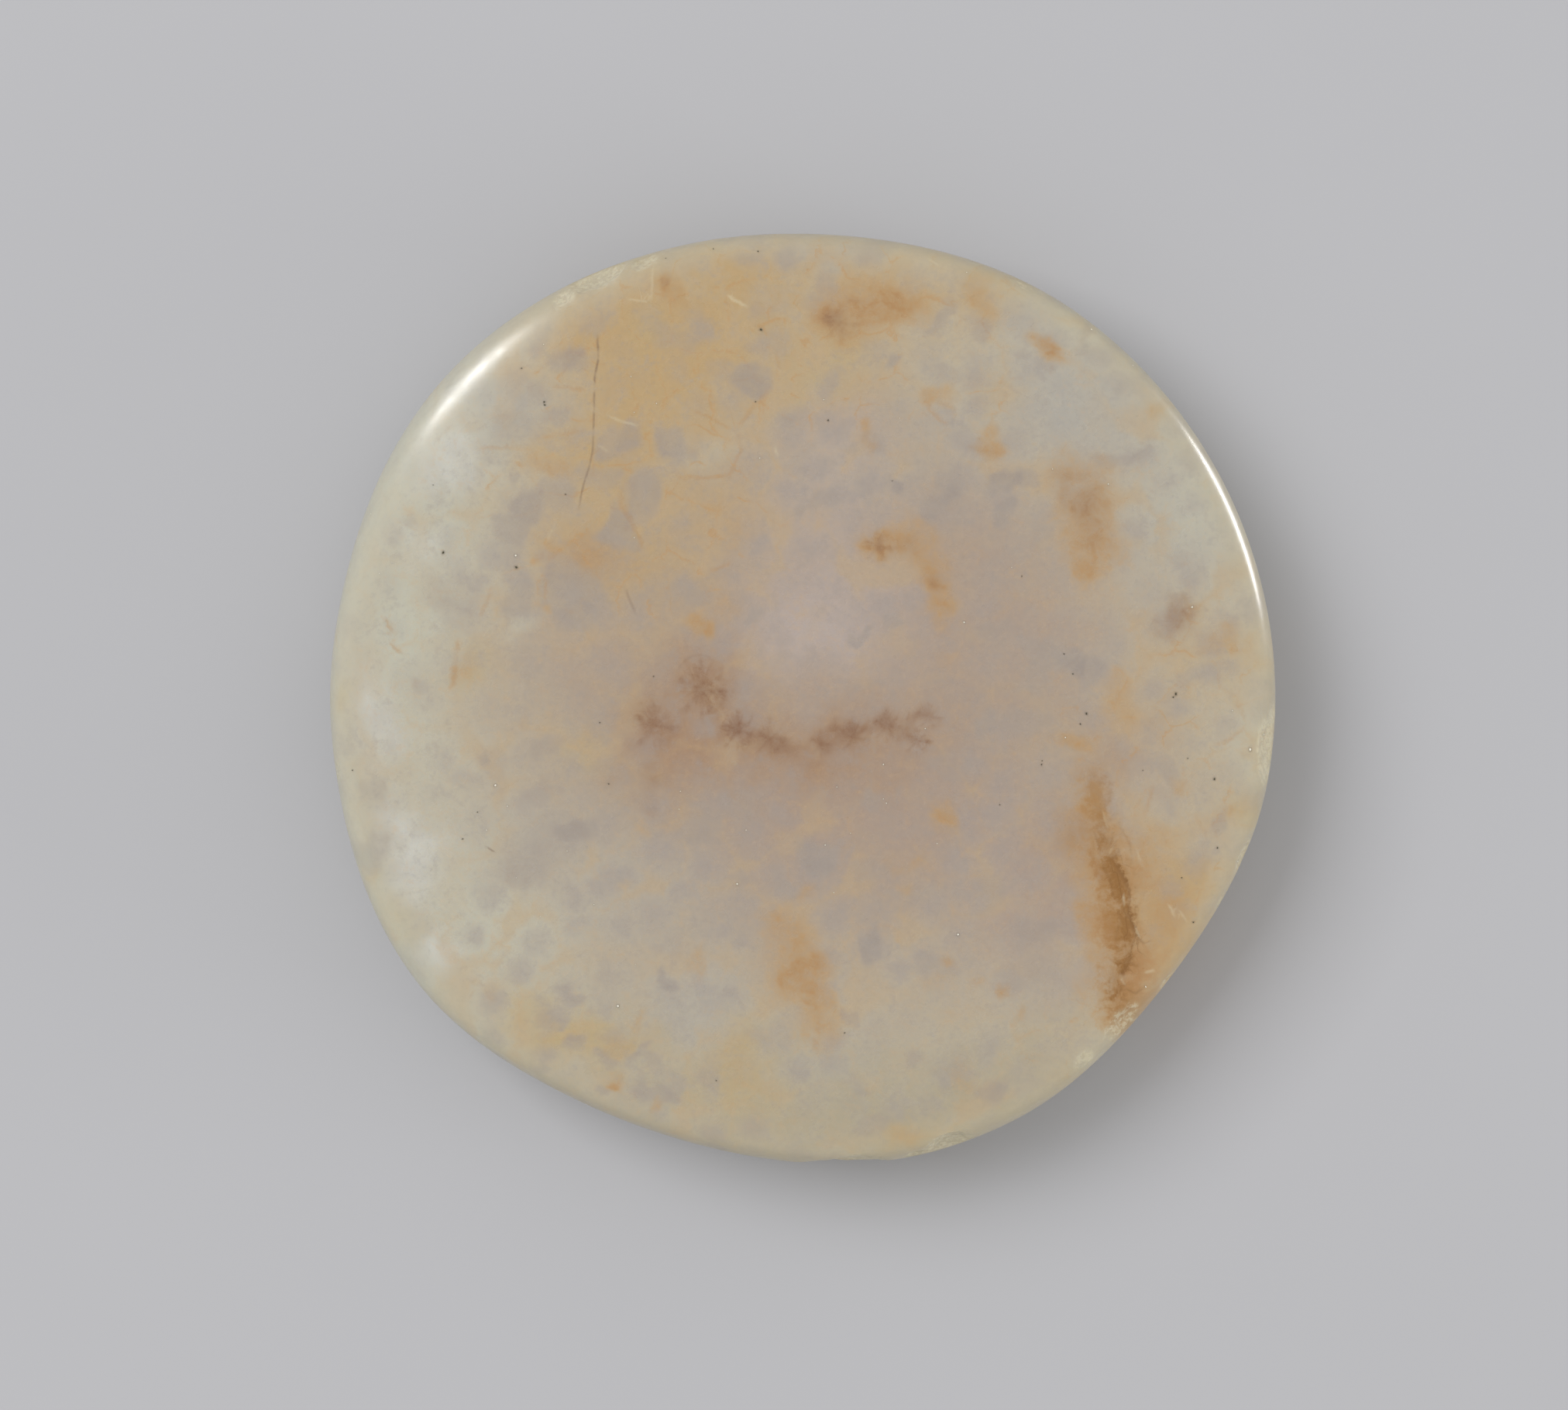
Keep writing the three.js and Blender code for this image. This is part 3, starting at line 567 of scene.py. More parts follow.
# Lines in the stone: a colour, how much of it covers, how ragged it is, and lines. A line is its half
# width, its strength and the points it runs through.
lines = {
    "streakHalo": (srgb(160, 117, 62), 0.85, 1.2, [
        (0.5, 0.65, [(9.6, -2.2), (9.85, -3.4), (10.1, -4.4), (10.3, -5.2)]),
        (0.6, 0.7, [(10.6, -9.4), (10.8, -10.4), (11.1, -11.2), (11.3, -11.8)]),
        (0.55, 1.0, [(10.0, -4.0), (10.25, -5.2), (10.45, -6.2), (10.6, -7.2), (10.65, -8.2),
                     (10.55, -9.0), (10.5, -9.8), (10.7, -10.8), (10.9, -11.6)]),
    ]),
    "streak": (srgb(136, 92, 34), 0.72, 2.4, [
        (0.26, 0.8, [(9.9, -3.6), (10.2, -5.0), (10.5, -6.0), (10.75, -6.8), (10.85, -7.6), (10.85, -8.3),
                     (10.7, -8.9), (10.5, -9.4), (10.45, -10.0), (10.6, -10.6), (10.7, -11.2)]),
    ]),
    "streakEdge": (srgb(112, 72, 18), 0.42, 2.2, [
        (0.08, 1.0, [(10.25, -5.0), (10.34, -5.3), (10.55, -5.66), (10.76, -6.07), (10.95, -6.45),
                     (10.92, -6.9), (10.9, -7.26), (11.08, -7.74), (11.17, -7.95), (11.0, -8.3),
                     (10.9, -8.55), (10.95, -8.86), (10.7, -9.15), (10.48, -9.35), (10.54, -9.7),
                     (10.4, -10.0), (10.5, -10.3)]),
        (0.05, 0.5, [(10.0, -5.3), (10.1, -5.75), (10.3, -6.1), (10.35, -6.5), (10.5, -6.9)]),
        (0.05, 0.5, [(10.3, -9.0), (10.25, -9.6), (10.35, -10.1)]),
        (0.05, 0.4, [(10.55, -6.9), (10.6, -7.5), (10.45, -8.0), (10.6, -8.5)]),
        (0.04, 0.7, [(10.2, -8.7), (10.5, -8.9), (10.8, -8.8), (11.2, -9.0)]),
        (0.04, 0.7, [(10.4, -9.9), (10.8, -9.7), (11.1, -9.9), (11.5, -9.6)]),
        (0.04, 0.6, [(11.1, -8.0), (11.4, -8.2), (11.7, -8.1)]),
        (0.04, 0.6, [(9.7, -4.4), (9.9, -4.9), (9.95, -5.4)]),
        (0.05, 0.5, [(10.5, -4.0), (10.75, -4.5), (10.95, -4.9), (11.0, -5.3)]),
    ]),
    "darkLine": (srgb(122, 98, 84), 0.6, 0.5, [
        (0.045, 1.0, [(-6.92, 12.3), (-6.88, 11.4), (-7.0, 10.8), (-7.02, 9.6)]),
        (0.04, 0.8, [(-7.0, 10.4), (-7.02, 9.6), (-7.06, 8.3), (-7.17, 7.8), (-7.4, 7.05), (-7.55, 6.2)]),
        (0.035, 1.0, [(-10.65, -4.95), (-10.5, -5.03), (-10.35, -5.15)]),
        (0.03, 1.0, [(-8.0, 13.95), (-7.85, 13.7), (-7.65, 13.62), (-7.45, 13.66)]),
        (0.05, 0.5, [(-5.95, 3.7), (-5.8, 3.3), (-5.6, 2.85)]),
        (0.05, 0.3, [(-4.25, 0.9), (-3.95, 1.3), (-3.55, 1.48), (-3.2, 1.44), (-2.9, 1.2)]),
    ]),
    "orangeLine": (srgb(178, 134, 80), 0.4, 2.0, [
        (0.08, 0.8, [(-1.25, 10.25), (-1.7, 9.75), (-2.2, 9.05), (-2.1, 8.3), (-2.45, 7.5), (-3.3, 7.4),
                     (-4.1, 7.45), (-4.55, 7.95)]),
        (0.06, 0.7, [(-3.9, 9.75), (-3.1, 9.4), (-2.35, 9.0)]),
        (0.07, 0.6, [(-0.9, 11.6), (-0.85, 11.1), (-0.85, 10.7)]),
        (0.07, 0.6, [(-11.0, 8.4), (-10.2, 8.42), (-9.0, 8.38)]),
        (0.07, 0.8, [(-8.5, 10.48), (-7.9, 10.42), (-7.2, 10.35)]),
        (0.07, 0.6, [(-9.0, 8.75), (-8.3, 8.82), (-7.2, 9.0)]),
        (0.09, 0.7, [(-6.1, 7.2), (-6.1, 6.5), (-5.75, 5.95), (-5.4, 5.2), (-5.6, 4.9)]),
        (0.08, 0.7, [(-3.15, 4.3), (-2.85, 4.35), (-2.4, 4.6)]),
        (0.07, 0.7, [(-8.65, 4.1), (-8.62, 3.5), (-8.7, 2.9)]),
        (0.08, 0.6, [(-10.4, 3.8), (-10.6, 3.3), (-10.85, 2.7)]),
        (0.11, 1.0, [(-11.55, 2.1), (-11.65, 1.3), (-11.72, 0.8), (-11.8, 0.2)]),
        (0.08, 0.9, [(-14.1, 2.8), (-13.95, 2.5), (-13.75, 2.2)]),
        (0.08, 0.9, [(-13.9, 1.9), (-13.7, 1.7), (-13.4, 1.5)]),
        (0.12, 0.9, [(8.1, -1.25), (8.7, -1.5), (9.3, -1.45), (9.7, -1.7)]),
        (0.10, 0.7, [(0.3, -11.8), (0.5, -11.2), (0.5, -10.5)]),
        (0.10, 0.8, [(4.1, 9.95), (4.35, 9.6), (4.85, 9.15)]),
        (0.08, 0.6, [(13.7, -1.6), (14.2, -1.4), (14.8, -1.0)]),
        (0.08, 0.7, [(11.7, -2.9), (11.6, -3.4), (11.4, -4.0)]),
        (0.08, 0.6, [(13.1, -3.9), (13.4, -4.4), (13.55, -4.8)]),
        (0.07, 0.6, [(9.95, -4.2), (10.7, -4.5), (11.2, -5.2)]),
    ]),
    "paleLine": (srgb(214, 204, 174), 0.5, 1.5, [
        (0.06, 0.9, [(-2.6, 13.55), (-2.2, 13.3), (-1.85, 13.12)]),
        (0.05, 0.7, [(-6.6, 9.5), (-6.1, 9.3), (-5.5, 9.15)]),
        (0.06, 0.7, [(-6.85, 8.5), (-6.55, 8.28)]),
        (0.05, 0.6, [(-5.12, 14.6), (-5.1, 13.3)]),
        (0.05, 0.6, [(-8.3, 5.95), (-8.55, 5.3)]),
        (0.05, 0.6, [(-5.95, 13.4), (-5.2, 13.3)]),
        (0.05, 0.6, [(12.6, -7.1), (12.85, -7.5)]),
        (0.05, 0.8, [(10.72, -6.5), (10.75, -6.9)]),
        (0.06, 0.7, [(12.25, -6.9), (12.45, -7.3)]),
        (0.06, 0.7, [(11.4, -9.2), (11.75, -9.1)]),
        (0.05, 0.7, [(10.6, -9.2), (10.75, -9.6)]),
        (0.05, 0.6, [(11.1, -7.6), (11.25, -8.0)]),
        (0.05, 0.6, [(10.05, -3.8), (10.2, -4.4)]),
        (0.07, 0.8, [(10.9, -10.7), (11.05, -11.1)]),
        (0.16, 0.8, [(9.45, -11.75), (9.62, -12.3)]),
        (0.05, 0.7, [(10.35, -5.0), (10.2, -5.3)]),
        (0.05, 0.6, [(11.15, -5.0), (11.3, -5.45)]),
        (0.05, 0.5, [(-0.95, 8.5), (-0.85, 8.1)]),
        (0.04, 0.7, [(4.1, 14.8), (4.6, 14.45)]),
    ]),
}


def fieldOf(place, spots, edge):  # how deep each point lies in any of the spots
    field = np.zeros(len(place))
    for x, y, length, width, turn, strength in spots:
        cos, sin = math.cos(math.radians(turn)), math.sin(math.radians(turn))
        away = place[:, :2] - (x, y)
        along, across = away @ (cos, sin) / length, away @ (-sin, cos) / width
        far = along**2 + across**2
        field += strength * (np.exp(-2.3 * far) if edge == "soft" else np.clip(1.5 * (1 - far), 0, 1))
    return field


farSide = 9.0  # so many half widths from a line, its side no longer matters


def sideOf(place, runs):  # which side of the nearest line, in half widths, and that line's strength
    side, strength = np.full(len(place), farSide), np.zeros(len(place))
    nearest = np.full(len(place), np.inf)
    for width, darkness, corners in runs:
        corners = np.array(corners)
        steps = np.linalg.norm(np.diff(corners, axis=0), axis=1)
        ends = np.concatenate([[0], np.cumsum(steps)]) / steps.sum()
        for (start, stop, step, first, last) in zip(corners, corners[1:], steps, ends, ends[1:]):
            ahead = (stop - start) / step
            away = place[:, :2] - start
            along = np.clip(away @ ahead, 0, step)
            off = np.linalg.norm(away - along[:, None] * ahead, axis=1)
            run = first + (last - first) * along / step
            left = np.sign(away @ (-ahead[1], ahead[0]))
            near = off < nearest
            nearest = np.where(near, off, nearest)
            side = np.where(near, left * off / width, side)
            fading = np.clip(np.minimum(run, 1 - run) / 0.15, 0, 1)
            nearby = np.clip((max(0.6, 2 * width) - off) / 0.3, 0, 1)
            strength = np.where(near, darkness * fading * nearby, strength)
    return np.clip(side, -farSide, farSide), strength


def growthOf(place):  # where a point lies in the nearest brown growth, in reaches, and its strength
    away = np.stack([(place[:, :2] - (x, y)) / reach for x, y, reach, _ in stars])
    far = np.linalg.norm(away, axis=2)
    nearest = far.argmin(axis=0)
    own = away[nearest, np.arange(len(place))]
    apart = np.sort(far, axis=0)[1] - far.min(axis=0)
    strength = np.array([star[3] for star in stars])[nearest] * np.clip(apart / 0.3, 0, 1)
    return np.concatenate([np.clip(own, -3, 3), strength[:, None]], axis=1)


def paintFields(body):  # the clouds, stains and lines as values of the mesh
    points = pointsOf(body) / mm
    place = points.copy()
    place[:, 0] += agate["lean"] * (points[:, 2] - thickness)
    swayed = place.copy()
    for size, reach in ((2.6, 0.14), (1.1, 0.1), (0.5, 0.06)):
        for axis in (0, 1):
            swayed[:, axis] += reach * waves(points, size, 14)

    def keep(name, values, kind="FLOAT"):
        field = body.data.attributes.new(name, kind, "POINT")
        field.data.foreach_set("value" if kind == "FLOAT" else "vector", values.ravel())

    for name, (_, _, spots) in softClouds.items():
        keep(name, fieldOf(swayed, spots, "soft"))
    for name, (_, _, _, spots) in sharpStains.items():
        keep(name, fieldOf(swayed, spots, "firm" if name == "grey" else "soft"))
    for name, (_, _, _, runs) in lines.items():
        side, strength = sideOf(place, runs)
        keep(name + "Side", side)
        keep(name + "Strength", strength)
    keep("growth", growthOf(place), "FLOAT_VECTOR")


# Dirt and bright points in the face: x, y and half width. Each is a small faceted crumb.
crumb = {
    "sides": 7,
    "proud": 0.004,  # how far its tip stands out of the face, and its sides lie in it
    "root": 0.04,
    "darkColour": srgb(74, 70, 50),
    "brightColour": srgb(236, 232, 216),
    "darkRoughness": 0.6,
    "brightRoughness": 0.35,
}

grains = {
    "darkSpeck": [
        (-12.05, 4.9, 0.07), (-9.6, 4.4, 0.07), (-8.67, 9.95, 0.05), (-8.65, 9.85, 0.04),
        (-1.4, 12.37, 0.06), (-9.44, 11.1, 0.035), (-1.58, 9.95, 0.03), (-7.95, 6.85, 0.03),
        (-12.4, 7.17, 0.025), (-1.5, 15.0, 0.035), (-3.0, 15.1, 0.03), (-4.6, 14.8, 0.03),
        (-5.0, 0.75, 0.03), (0.85, 9.33, 0.04), (12.5, 0.16, 0.06), (12.42, 0.05, 0.04), (9.05, 0.83, 0.04),
        (7.34, 4.1, 0.03), (8.75, 1.5, 0.03), (-10.9, -3.8, 0.03), (-6.5, -2.86, 0.035), (-6.8, -0.8, 0.03),
        (-15.1, -2.4, 0.03), (-2.9, -12.8, 0.03), (-11.4, -4.7, 0.035), (8.0, -2.2, 0.04),
        (8.02, -2.08, 0.03), (9.5, -0.5, 0.05), (9.3, -0.85, 0.04), (13.8, -2.7, 0.06), (11.4, -2.4, 0.03),
        (13.9, -5.0, 0.04), (13.1, -7.5, 0.045), (12.7, -6.0, 0.03), (6.6, -3.55, 0.03), (1.4, -11.2, 0.03),
        (12.9, -2.0, 0.025), (3.0, 7.3, 0.02), (12.6, -9.25, 0.08),
    ],
    "brightPoint": [
        (-9.62, 4.8, 0.05), (-8.7, 11.9, 0.03), (-5.76, 10.8, 0.03), (-5.65, 9.6, 0.025), (-4.9, 9.9, 0.03),
        (-14.56, 6.24, 0.035), (-14.8, 5.17, 0.025), (-14.2, 4.2, 0.03), (-5.65, 5.4, 0.03),
        (-1.44, 8.07, 0.03), (8.37, 7.7, 0.035), (3.25, 9.4, 0.025), (0.7, 10.03, 0.03),
        (13.05, 3.07, 0.05), (5.4, 2.56, 0.04), (5.5, 14.3, 0.03), (9.7, 12.4, 0.04), (11.1, 11.2, 0.04),
        (-10.3, -2.9, 0.05), (-9.9, -3.6, 0.03), (-10.6, -4.4, 0.03), (-6.2, -10.3, 0.06),
        (-2.2, -6.2, 0.045), (-1.9, -4.4, 0.03), (-7.0, -6.9, 0.025), (-7.9, -5.1, 0.025),
        (-9.6, -6.0, 0.02), (-4.1, -3.1, 0.03), (-4.15, -3.7, 0.03), (-5.6, -8.9, 0.02), (2.7, -2.2, 0.035),
        (1.14, -2.96, 0.035), (2.8, -3.5, 0.035), (2.7, -3.35, 0.025), (8.8, -1.3, 0.035),
        (15.0, -1.7, 0.06), (5.2, -7.9, 0.05), (0.75, -4.9, 0.035), (1.04, -6.5, 0.025), (14.7, -5.5, 0.05),
        (4.5, -4.85, 0.03), (4.1, -1.0, 0.03), (15.5, -1.2, 0.04), (15.6, -2.5, 0.04), (11.5, -9.65, 0.03),
        (14.4, -0.4, 0.03), (1.6, -4.5, 0.025), (10.24, 7.2, 0.035), (-8.8, -7.3, 0.02), (7.0, 4.4, 0.02),
    ],
}


def makeGrains(body):
    made, sides = [], crumb["sides"]
    for name, places in grains.items():
        material, _, shader = newMaterial(name)
        look = "dark" if name == "darkSpeck" else "bright"
        shader.inputs["Base Color"].default_value = crumb[look + "Colour"]
        shader.inputs["Roughness"].default_value = crumb[look + "Roughness"]
        points, faces = [], []
        for x, y, size in places:
            found, spot, normal, _ = body.ray_cast((x * mm, y * mm, 2 * thickness * mm), (0, 0, -1))
            if not found:
                continue
            across = normal.orthogonal().normalized()
            first = len(points)
            for k in range(sides):
                reach = across.copy()
                reach.rotate(Quaternion(normal, 2 * math.pi * k / sides))
                corner = spot / mm + reach * size * random.uniform(0.9, 1.6)
                points.append(corner - normal * crumb["proud"])
            points += [spot / mm + normal * crumb["proud"], spot / mm - normal * crumb["root"]]
            for k in range(sides):
                a, b = first + k, first + (k + 1) % sides
                faces += [[a, b, first + sides], [b, a, first + sides + 1]]
        crumbs = makeMesh(name, np.minimum(points, [np.inf, np.inf, thickness]), faces)
        crumbs.data.materials.append(material)
        made.append(crumbs)
    with bpy.context.temp_override(active_object=body, selected_editable_objects=[body, *made]):
        bpy.ops.object.join()


def meshValue(tree, name, output="Fac"):
    return addNode(tree, "ShaderNodeAttribute", {"attribute_name": name}).outputs[output]


def growthMask(tree, fibre, wisp):  # ragged arms that run out from each growth's middle
    own = meshValue(tree, "growth", "Vector")
    x, y, strength = addNode(tree, "ShaderNodeSeparateXYZ", Vector=own).outputs
    flat, out = lengthOf(tree, x, y)
    away = addNode(tree, "ShaderNodeVectorMath", {"operation": "NORMALIZE"}, _0=flat).outputs[0]
    ax, ay, _ = addNode(tree, "ShaderNodeSeparateXYZ", Vector=away).outputs
    along = addNode(tree, "ShaderNodeCombineXYZ", X=ax, Y=ay, Z=times(tree, out, 0.5)).outputs[0]
    arms = addNode(tree, "ShaderNodeTexNoise", Vector=along, Scale=1.5, Detail=3.0, Roughness=0.6,
                   Distortion=0.7).outputs[0]
    reach = sums(tree, "SUBTRACT", 1.0, out)
    arm = times(tree, sums(tree, "SUBTRACT", arms, 0.5), sums(tree, "MINIMUM", out, 0.5))
    frayed = sums(tree, "MULTIPLY_ADD", sums(tree, "SUBTRACT", fibre, 0.5), 1.4, reach)
    mask = ramp(tree, sums(tree, "MULTIPLY_ADD", arm, 4.8, frayed), 0.25, 1.55)
    mask = times(tree, mask, ramp(tree, wisp, 0.38, 0.56, 0.5, 1.0))
    mask = times(tree, mask, ramp(tree, out, 1.1, 0.5))
    return times(tree, mask, strength)


def makePattern():
    tree, given, result = newGroup(
        "agatePattern",
        [("Vein Strength", "NodeSocketFloat", 0.5), ("Stain Strength", "NodeSocketFloat", 1.0)],
        [("Colour", "NodeSocketColor")])
    place = placeInMm(tree)
    x, y, z = addNode(tree, "ShaderNodeSeparateXYZ", Vector=place).outputs
    slow = clouds(tree, place, 0.3, 3.0, 0.55)
    wisp = addNode(tree, "ShaderNodeTexNoise", Vector=place, Scale=1.1, Detail=5.0, Roughness=0.65,
                   Distortion=0.5).outputs[0]
    fibre = clouds(tree, place, 4.5, 3.0, 0.7)

    # The ground is darker in the middle, with soft clouds and a fine mottling in it.
    _, out = lengthOf(tree, x, y)
    far = ramp(tree, sums(tree, "MULTIPLY_ADD", slow, 6.0, out), 6.0, 18.0)
    colour = mixColour(tree, far, agate["core"], agate["outer"])
    patchy = ramp(tree, wisp, 0.3, 0.7, 0.82, 1.18)
    for name, (tint, cover, _) in softClouds.items():
        mask = times(tree, meshValue(tree, name), patchy)
        colour = mixColour(tree, ramp(tree, mask, 0.0, 1.0, 0.0, cover, "LINEAR"), colour, tint)
    blotch = sums(tree, "MULTIPLY_ADD", fibre, 0.5, times(tree, wisp, 0.5))
    mottling = ramp(tree, out, circle, circle - agate["rimWidth"],
                    0.25 * agate["mottling"], agate["mottling"])
    for tint, end in (("warm", 0.66), ("cool", 0.36)):
        share = times(tree, ramp(tree, blotch, 0.5, end), mottling)
        colour = mixColour(tree, share, colour, agate[tint])

    # The round cells that the chalcedony grew in, and faint veins between them.
    shakenX = sums(tree, "ADD", sums(tree, "MULTIPLY_ADD", z, 0.6, x), times(tree, wisp, 1.6))
    shakenY = sums(tree, "ADD", sums(tree, "MULTIPLY_ADD", z, 0.5, y), times(tree, slow, 3.0))
    shaken = addNode(tree, "ShaderNodeCombineXYZ", X=shakenX, Y=shakenY).outputs[0]
    flatCells = {"voronoi_dimensions": "2D"}
    spread = {"Vector": shaken, "Scale": 1 / agate["cellSize"], "Randomness": 0.9}
    cells = addNode(tree, "ShaderNodeTexVoronoi", flatCells, **spread).outputs["Distance"]
    strong = ramp(tree, slow, 0.42, 0.6, 0.12, 0.45)
    for tint, start, end in (("cell", 0.5, 0.1), ("cellEdge", 0.45, 0.7)):
        share = times(tree, ramp(tree, cells, start, end), strong)
        colour = mixColour(tree, share, colour, agate[tint])
    toEdge = {**flatCells, "feature": "DISTANCE_TO_EDGE"}
    edges = addNode(tree, "ShaderNodeTexVoronoi", toEdge, **spread).outputs["Distance"]
    veins = times(tree, ramp(tree, edges, 0.05, 0.0), ramp(tree, wisp, 0.46, 0.6))
    veins = times(tree, veins, ramp(tree, meshValue(tree, "tan"), 0.0, 0.4, 0.15, 1.0))
    colour = mixColour(tree, times(tree, veins, given["Vein Strength"]), colour, agate["vein"])

    # Stains with ragged edges, the brown growths and the lines.
    ragged = times(tree, ramp(tree, wisp, 0.34, 0.66, 0.6, 1.4), ramp(tree, fibre, 0.3, 0.7, 0.8, 1.2))
    ragged = times(tree, ragged, given["Stain Strength"])
    broken = ramp(tree, wisp, 0.38, 0.54, 0.3, 1.0)
    for name, (tint, deep, cover, _) in sharpStains.items():
        field = meshValue(tree, name)
        frayed = times(tree, field, ragged)
        halo = ramp(tree, field, 0.0, 0.9, 0.0, cover * 0.5)
        colour = mixColour(tree, times(tree, halo, given["Stain Strength"]), colour, tint)
        colour = mixColour(tree, ramp(tree, frayed, 0.0, 1.2, 0.0, cover * 0.8), colour, tint)
        colour = mixColour(tree, ramp(tree, frayed, 0.5, 1.9, 0.0, cover * 0.75), colour, deep)
    growth = times(tree, growthMask(tree, fibre, wisp), given["Stain Strength"])
    colour = mixColour(tree, growth, colour, sharpStains["brown"][1])
    for name, (tint, cover, rough, _) in lines.items():
        shift = times(tree, sums(tree, "SUBTRACT", fibre, 0.5), rough * 2)
        off = sums(tree, "ABSOLUTE", sums(tree, "ADD", meshValue(tree, name + "Side"), shift))
        mask = times(tree, ramp(tree, off, 1.6, 0.0, 0.0, cover), meshValue(tree, name + "Strength"))
        colour = mixColour(tree, times(tree, mask, broken), colour, tint)

    # The thin edge gets a painted glow of light coming through the stone, paler and cooler on the left,
    # towards the light. A fine grain lies in the whole stone.
    rim = ramp(tree, out, circle - agate["rimWidth"], circle + 0.2)
    edge = mixColour(tree, ramp(tree, x, -7.0, -13.0), agate["rim"], agate["coolRimGlow"])
    share = times(tree, rim, ramp(tree, wisp, 0.35, 0.65, 0.45, 0.65))
    colour = mixColour(tree, share, colour, edge)
    grain = ramp(tree, fibre, 0.25, 0.75, 0.965, 1.035, "LINEAR")
    tree.links.new(scaled(tree, colour, grain), result["Colour"])
    return tree


surface = {
    "ior": 1.54,
    "depthWeight": 0.35,  # how much of the light goes through the stone, and how far
    "depthScale": 1.1 * mm,
    "depthColours": (1.0, 0.8, 0.55),
    "polished": 0.22,  # roughness, from the best polished places to the dullest
    "dull": 0.3,
    "wornRim": 0.08,
    "scratch": 0.05,
    "scratchBearing": -48,
    "scarRoughness": 0.28,
    "relief": 0.008 * mm,
    "boreRelief": 0.02 * mm,
    "boreDirt": srgb(132, 112, 88),
}


def makePolish():  # fine scratches and pits of an old polish
    tree, given, result = newGroup(
        "oldPolish",
        [("Wear", "NodeSocketFloat", 0.5)],
        [("Height", "NodeSocketFloat"), ("Roughness", "NodeSocketFloat")])
    place = placeInMm(tree)
    turned = addNode(tree, "ShaderNodeVectorRotate", {"rotation_type": "Z_AXIS"}, Vector=place,
                     Angle=math.radians(surface["scratchBearing"])).outputs[0]
    along = addNode(tree, "ShaderNodeVectorMath", {"operation": "MULTIPLY"}, _0=turned,
                    _1=(0.3, 8.0, 1.0)).outputs[0]
    scratches = times(tree, clouds(tree, along, 1.6, 1.0), given["Wear"])
    uneven = clouds(tree, place, 1.4, 2.0, 0.6)
    tree.links.new(uneven, result["Height"])
    x, y, _ = addNode(tree, "ShaderNodeSeparateXYZ", Vector=place).outputs
    _, out = lengthOf(tree, x, y)
    worn = ramp(tree, out, circle - 2.2, circle - 0.4, 0.0, surface["wornRim"])
    rough = sums(tree, "ADD", ramp(tree, uneven, 0.3, 0.7, surface["polished"], surface["dull"]), worn)
    scratched = sums(tree, "MULTIPLY_ADD", scratches, surface["scratch"], rough)
    tree.links.new(scratched, result["Roughness"])
    return tree


def newMaterial(name):
    material = bpy.data.materials.new(name)
    material.use_nodes = True
    tree = material.node_tree
    shader = tree.nodes["Principled BSDF"]
    return material, tree, shader


def setStone(shader):
    shader.inputs["IOR"].default_value = surface["ior"]
    shader.inputs["Subsurface Weight"].default_value = surface["depthWeight"]
    shader.inputs["Subsurface Scale"].default_value = surface["depthScale"]
    shader.inputs["Subsurface Radius"].default_value = surface["depthColours"]


def makeAgate(pattern, polish):
    material, tree, shader = newMaterial("polishedAgate")
    setStone(shader)
    stone = addNode(tree, "ShaderNodeGroup", {"node_tree": pattern}, Vein_Strength=0.45).outputs
    finish = addNode(tree, "ShaderNodeGroup", {"node_tree": polish}, Wear=0.5).outputs
    scar = meshValue(tree, "scar")
    crumbs = clouds(tree, placeInMm(tree), 6.0, 3.0, 0.7)
    frost = times(tree, scar, ramp(tree, crumbs, 0.4, 0.62, 0.1, 0.6))
    colour = mixColour(tree, frost, stone["Colour"], agate["scar"])
    tree.links.new(colour, shader.inputs["Base Color"])
    rough = sums(tree, "MULTIPLY_ADD", scar, surface["scarRoughness"], finish["Roughness"])
    tree.links.new(rough, shader.inputs["Roughness"])
    broken = times(tree, crumbs, scar)
    height = sums(tree, "MULTIPLY_ADD", broken, 6.0, finish["Height"])
    bump = addNode(tree, "ShaderNodeBump", Strength=0.6, Distance=surface["relief"], Height=height)
    tree.links.new(bump.outputs[0], shader.inputs["Normal"])
    return material


def makeDrilled(pattern):
    material, tree, shader = newMaterial("drilledAgate")
    setStone(shader)
    stone = addNode(tree, "ShaderNodeGroup", {"node_tree": pattern}, Vein_Strength=0.1,
                    Stain_Strength=0.6).outputs
    dirt = clouds(tree, placeInMm(tree), 2.0, 5.0, 0.65)
    soiled = ramp(tree, dirt, 0.35, 0.7, 0.15, 0.6)
    colour = mixColour(tree, soiled, stone["Colour"], surface["boreDirt"])
    tree.links.new(colour, shader.inputs["Base Color"])
    tree.links.new(ramp(tree, dirt, 0.3, 0.7, 0.5, 0.7), shader.inputs["Roughness"])
    bump = addNode(tree, "ShaderNodeBump", Strength=0.5, Distance=surface["boreRelief"], Height=dirt)
    tree.links.new(bump.outputs[0], shader.inputs["Normal"])
    return material


# The setting: floor, lights and camera

setting = {
    "floorSize": 4.0,
    "floorGap": 0.02 * mm,
    "floorColour": srgb(190, 191, 195),
    "world": srgb(222, 220, 218),
    "worldStrength": 0.85,
    "floorRoughness": 0.8,
    # A light's azimuth, elevation, distance, width and height in metres, power, and whether it is for
    # highlights only.
    "lights": {
        # Both strips stay below the level of the face, which would mirror them in side views.
        "leftStrip": (136, 9.2, 0.029, 0.0055, 0.0013, 0.0014, True),
        "rightStrip": (23, 8.7, 0.0265, 0.0095, 0.0024, 0.003, True),
        "rightFill": (-14, 8, 0.4, 0.2, 0.08, 0.5, False),
        "softKey": (150, 52, 0.7, 0.4, 0.4, 2.4, False),
    },
    "clipStart": 0.01,
    "lens": 100,
    "sensor": 36,
    "frameWidth": 53.5 * mm,  # what the photograph takes in, across, at the bead
    "aim": (-0.63 * mm, -0.21 * mm),
}


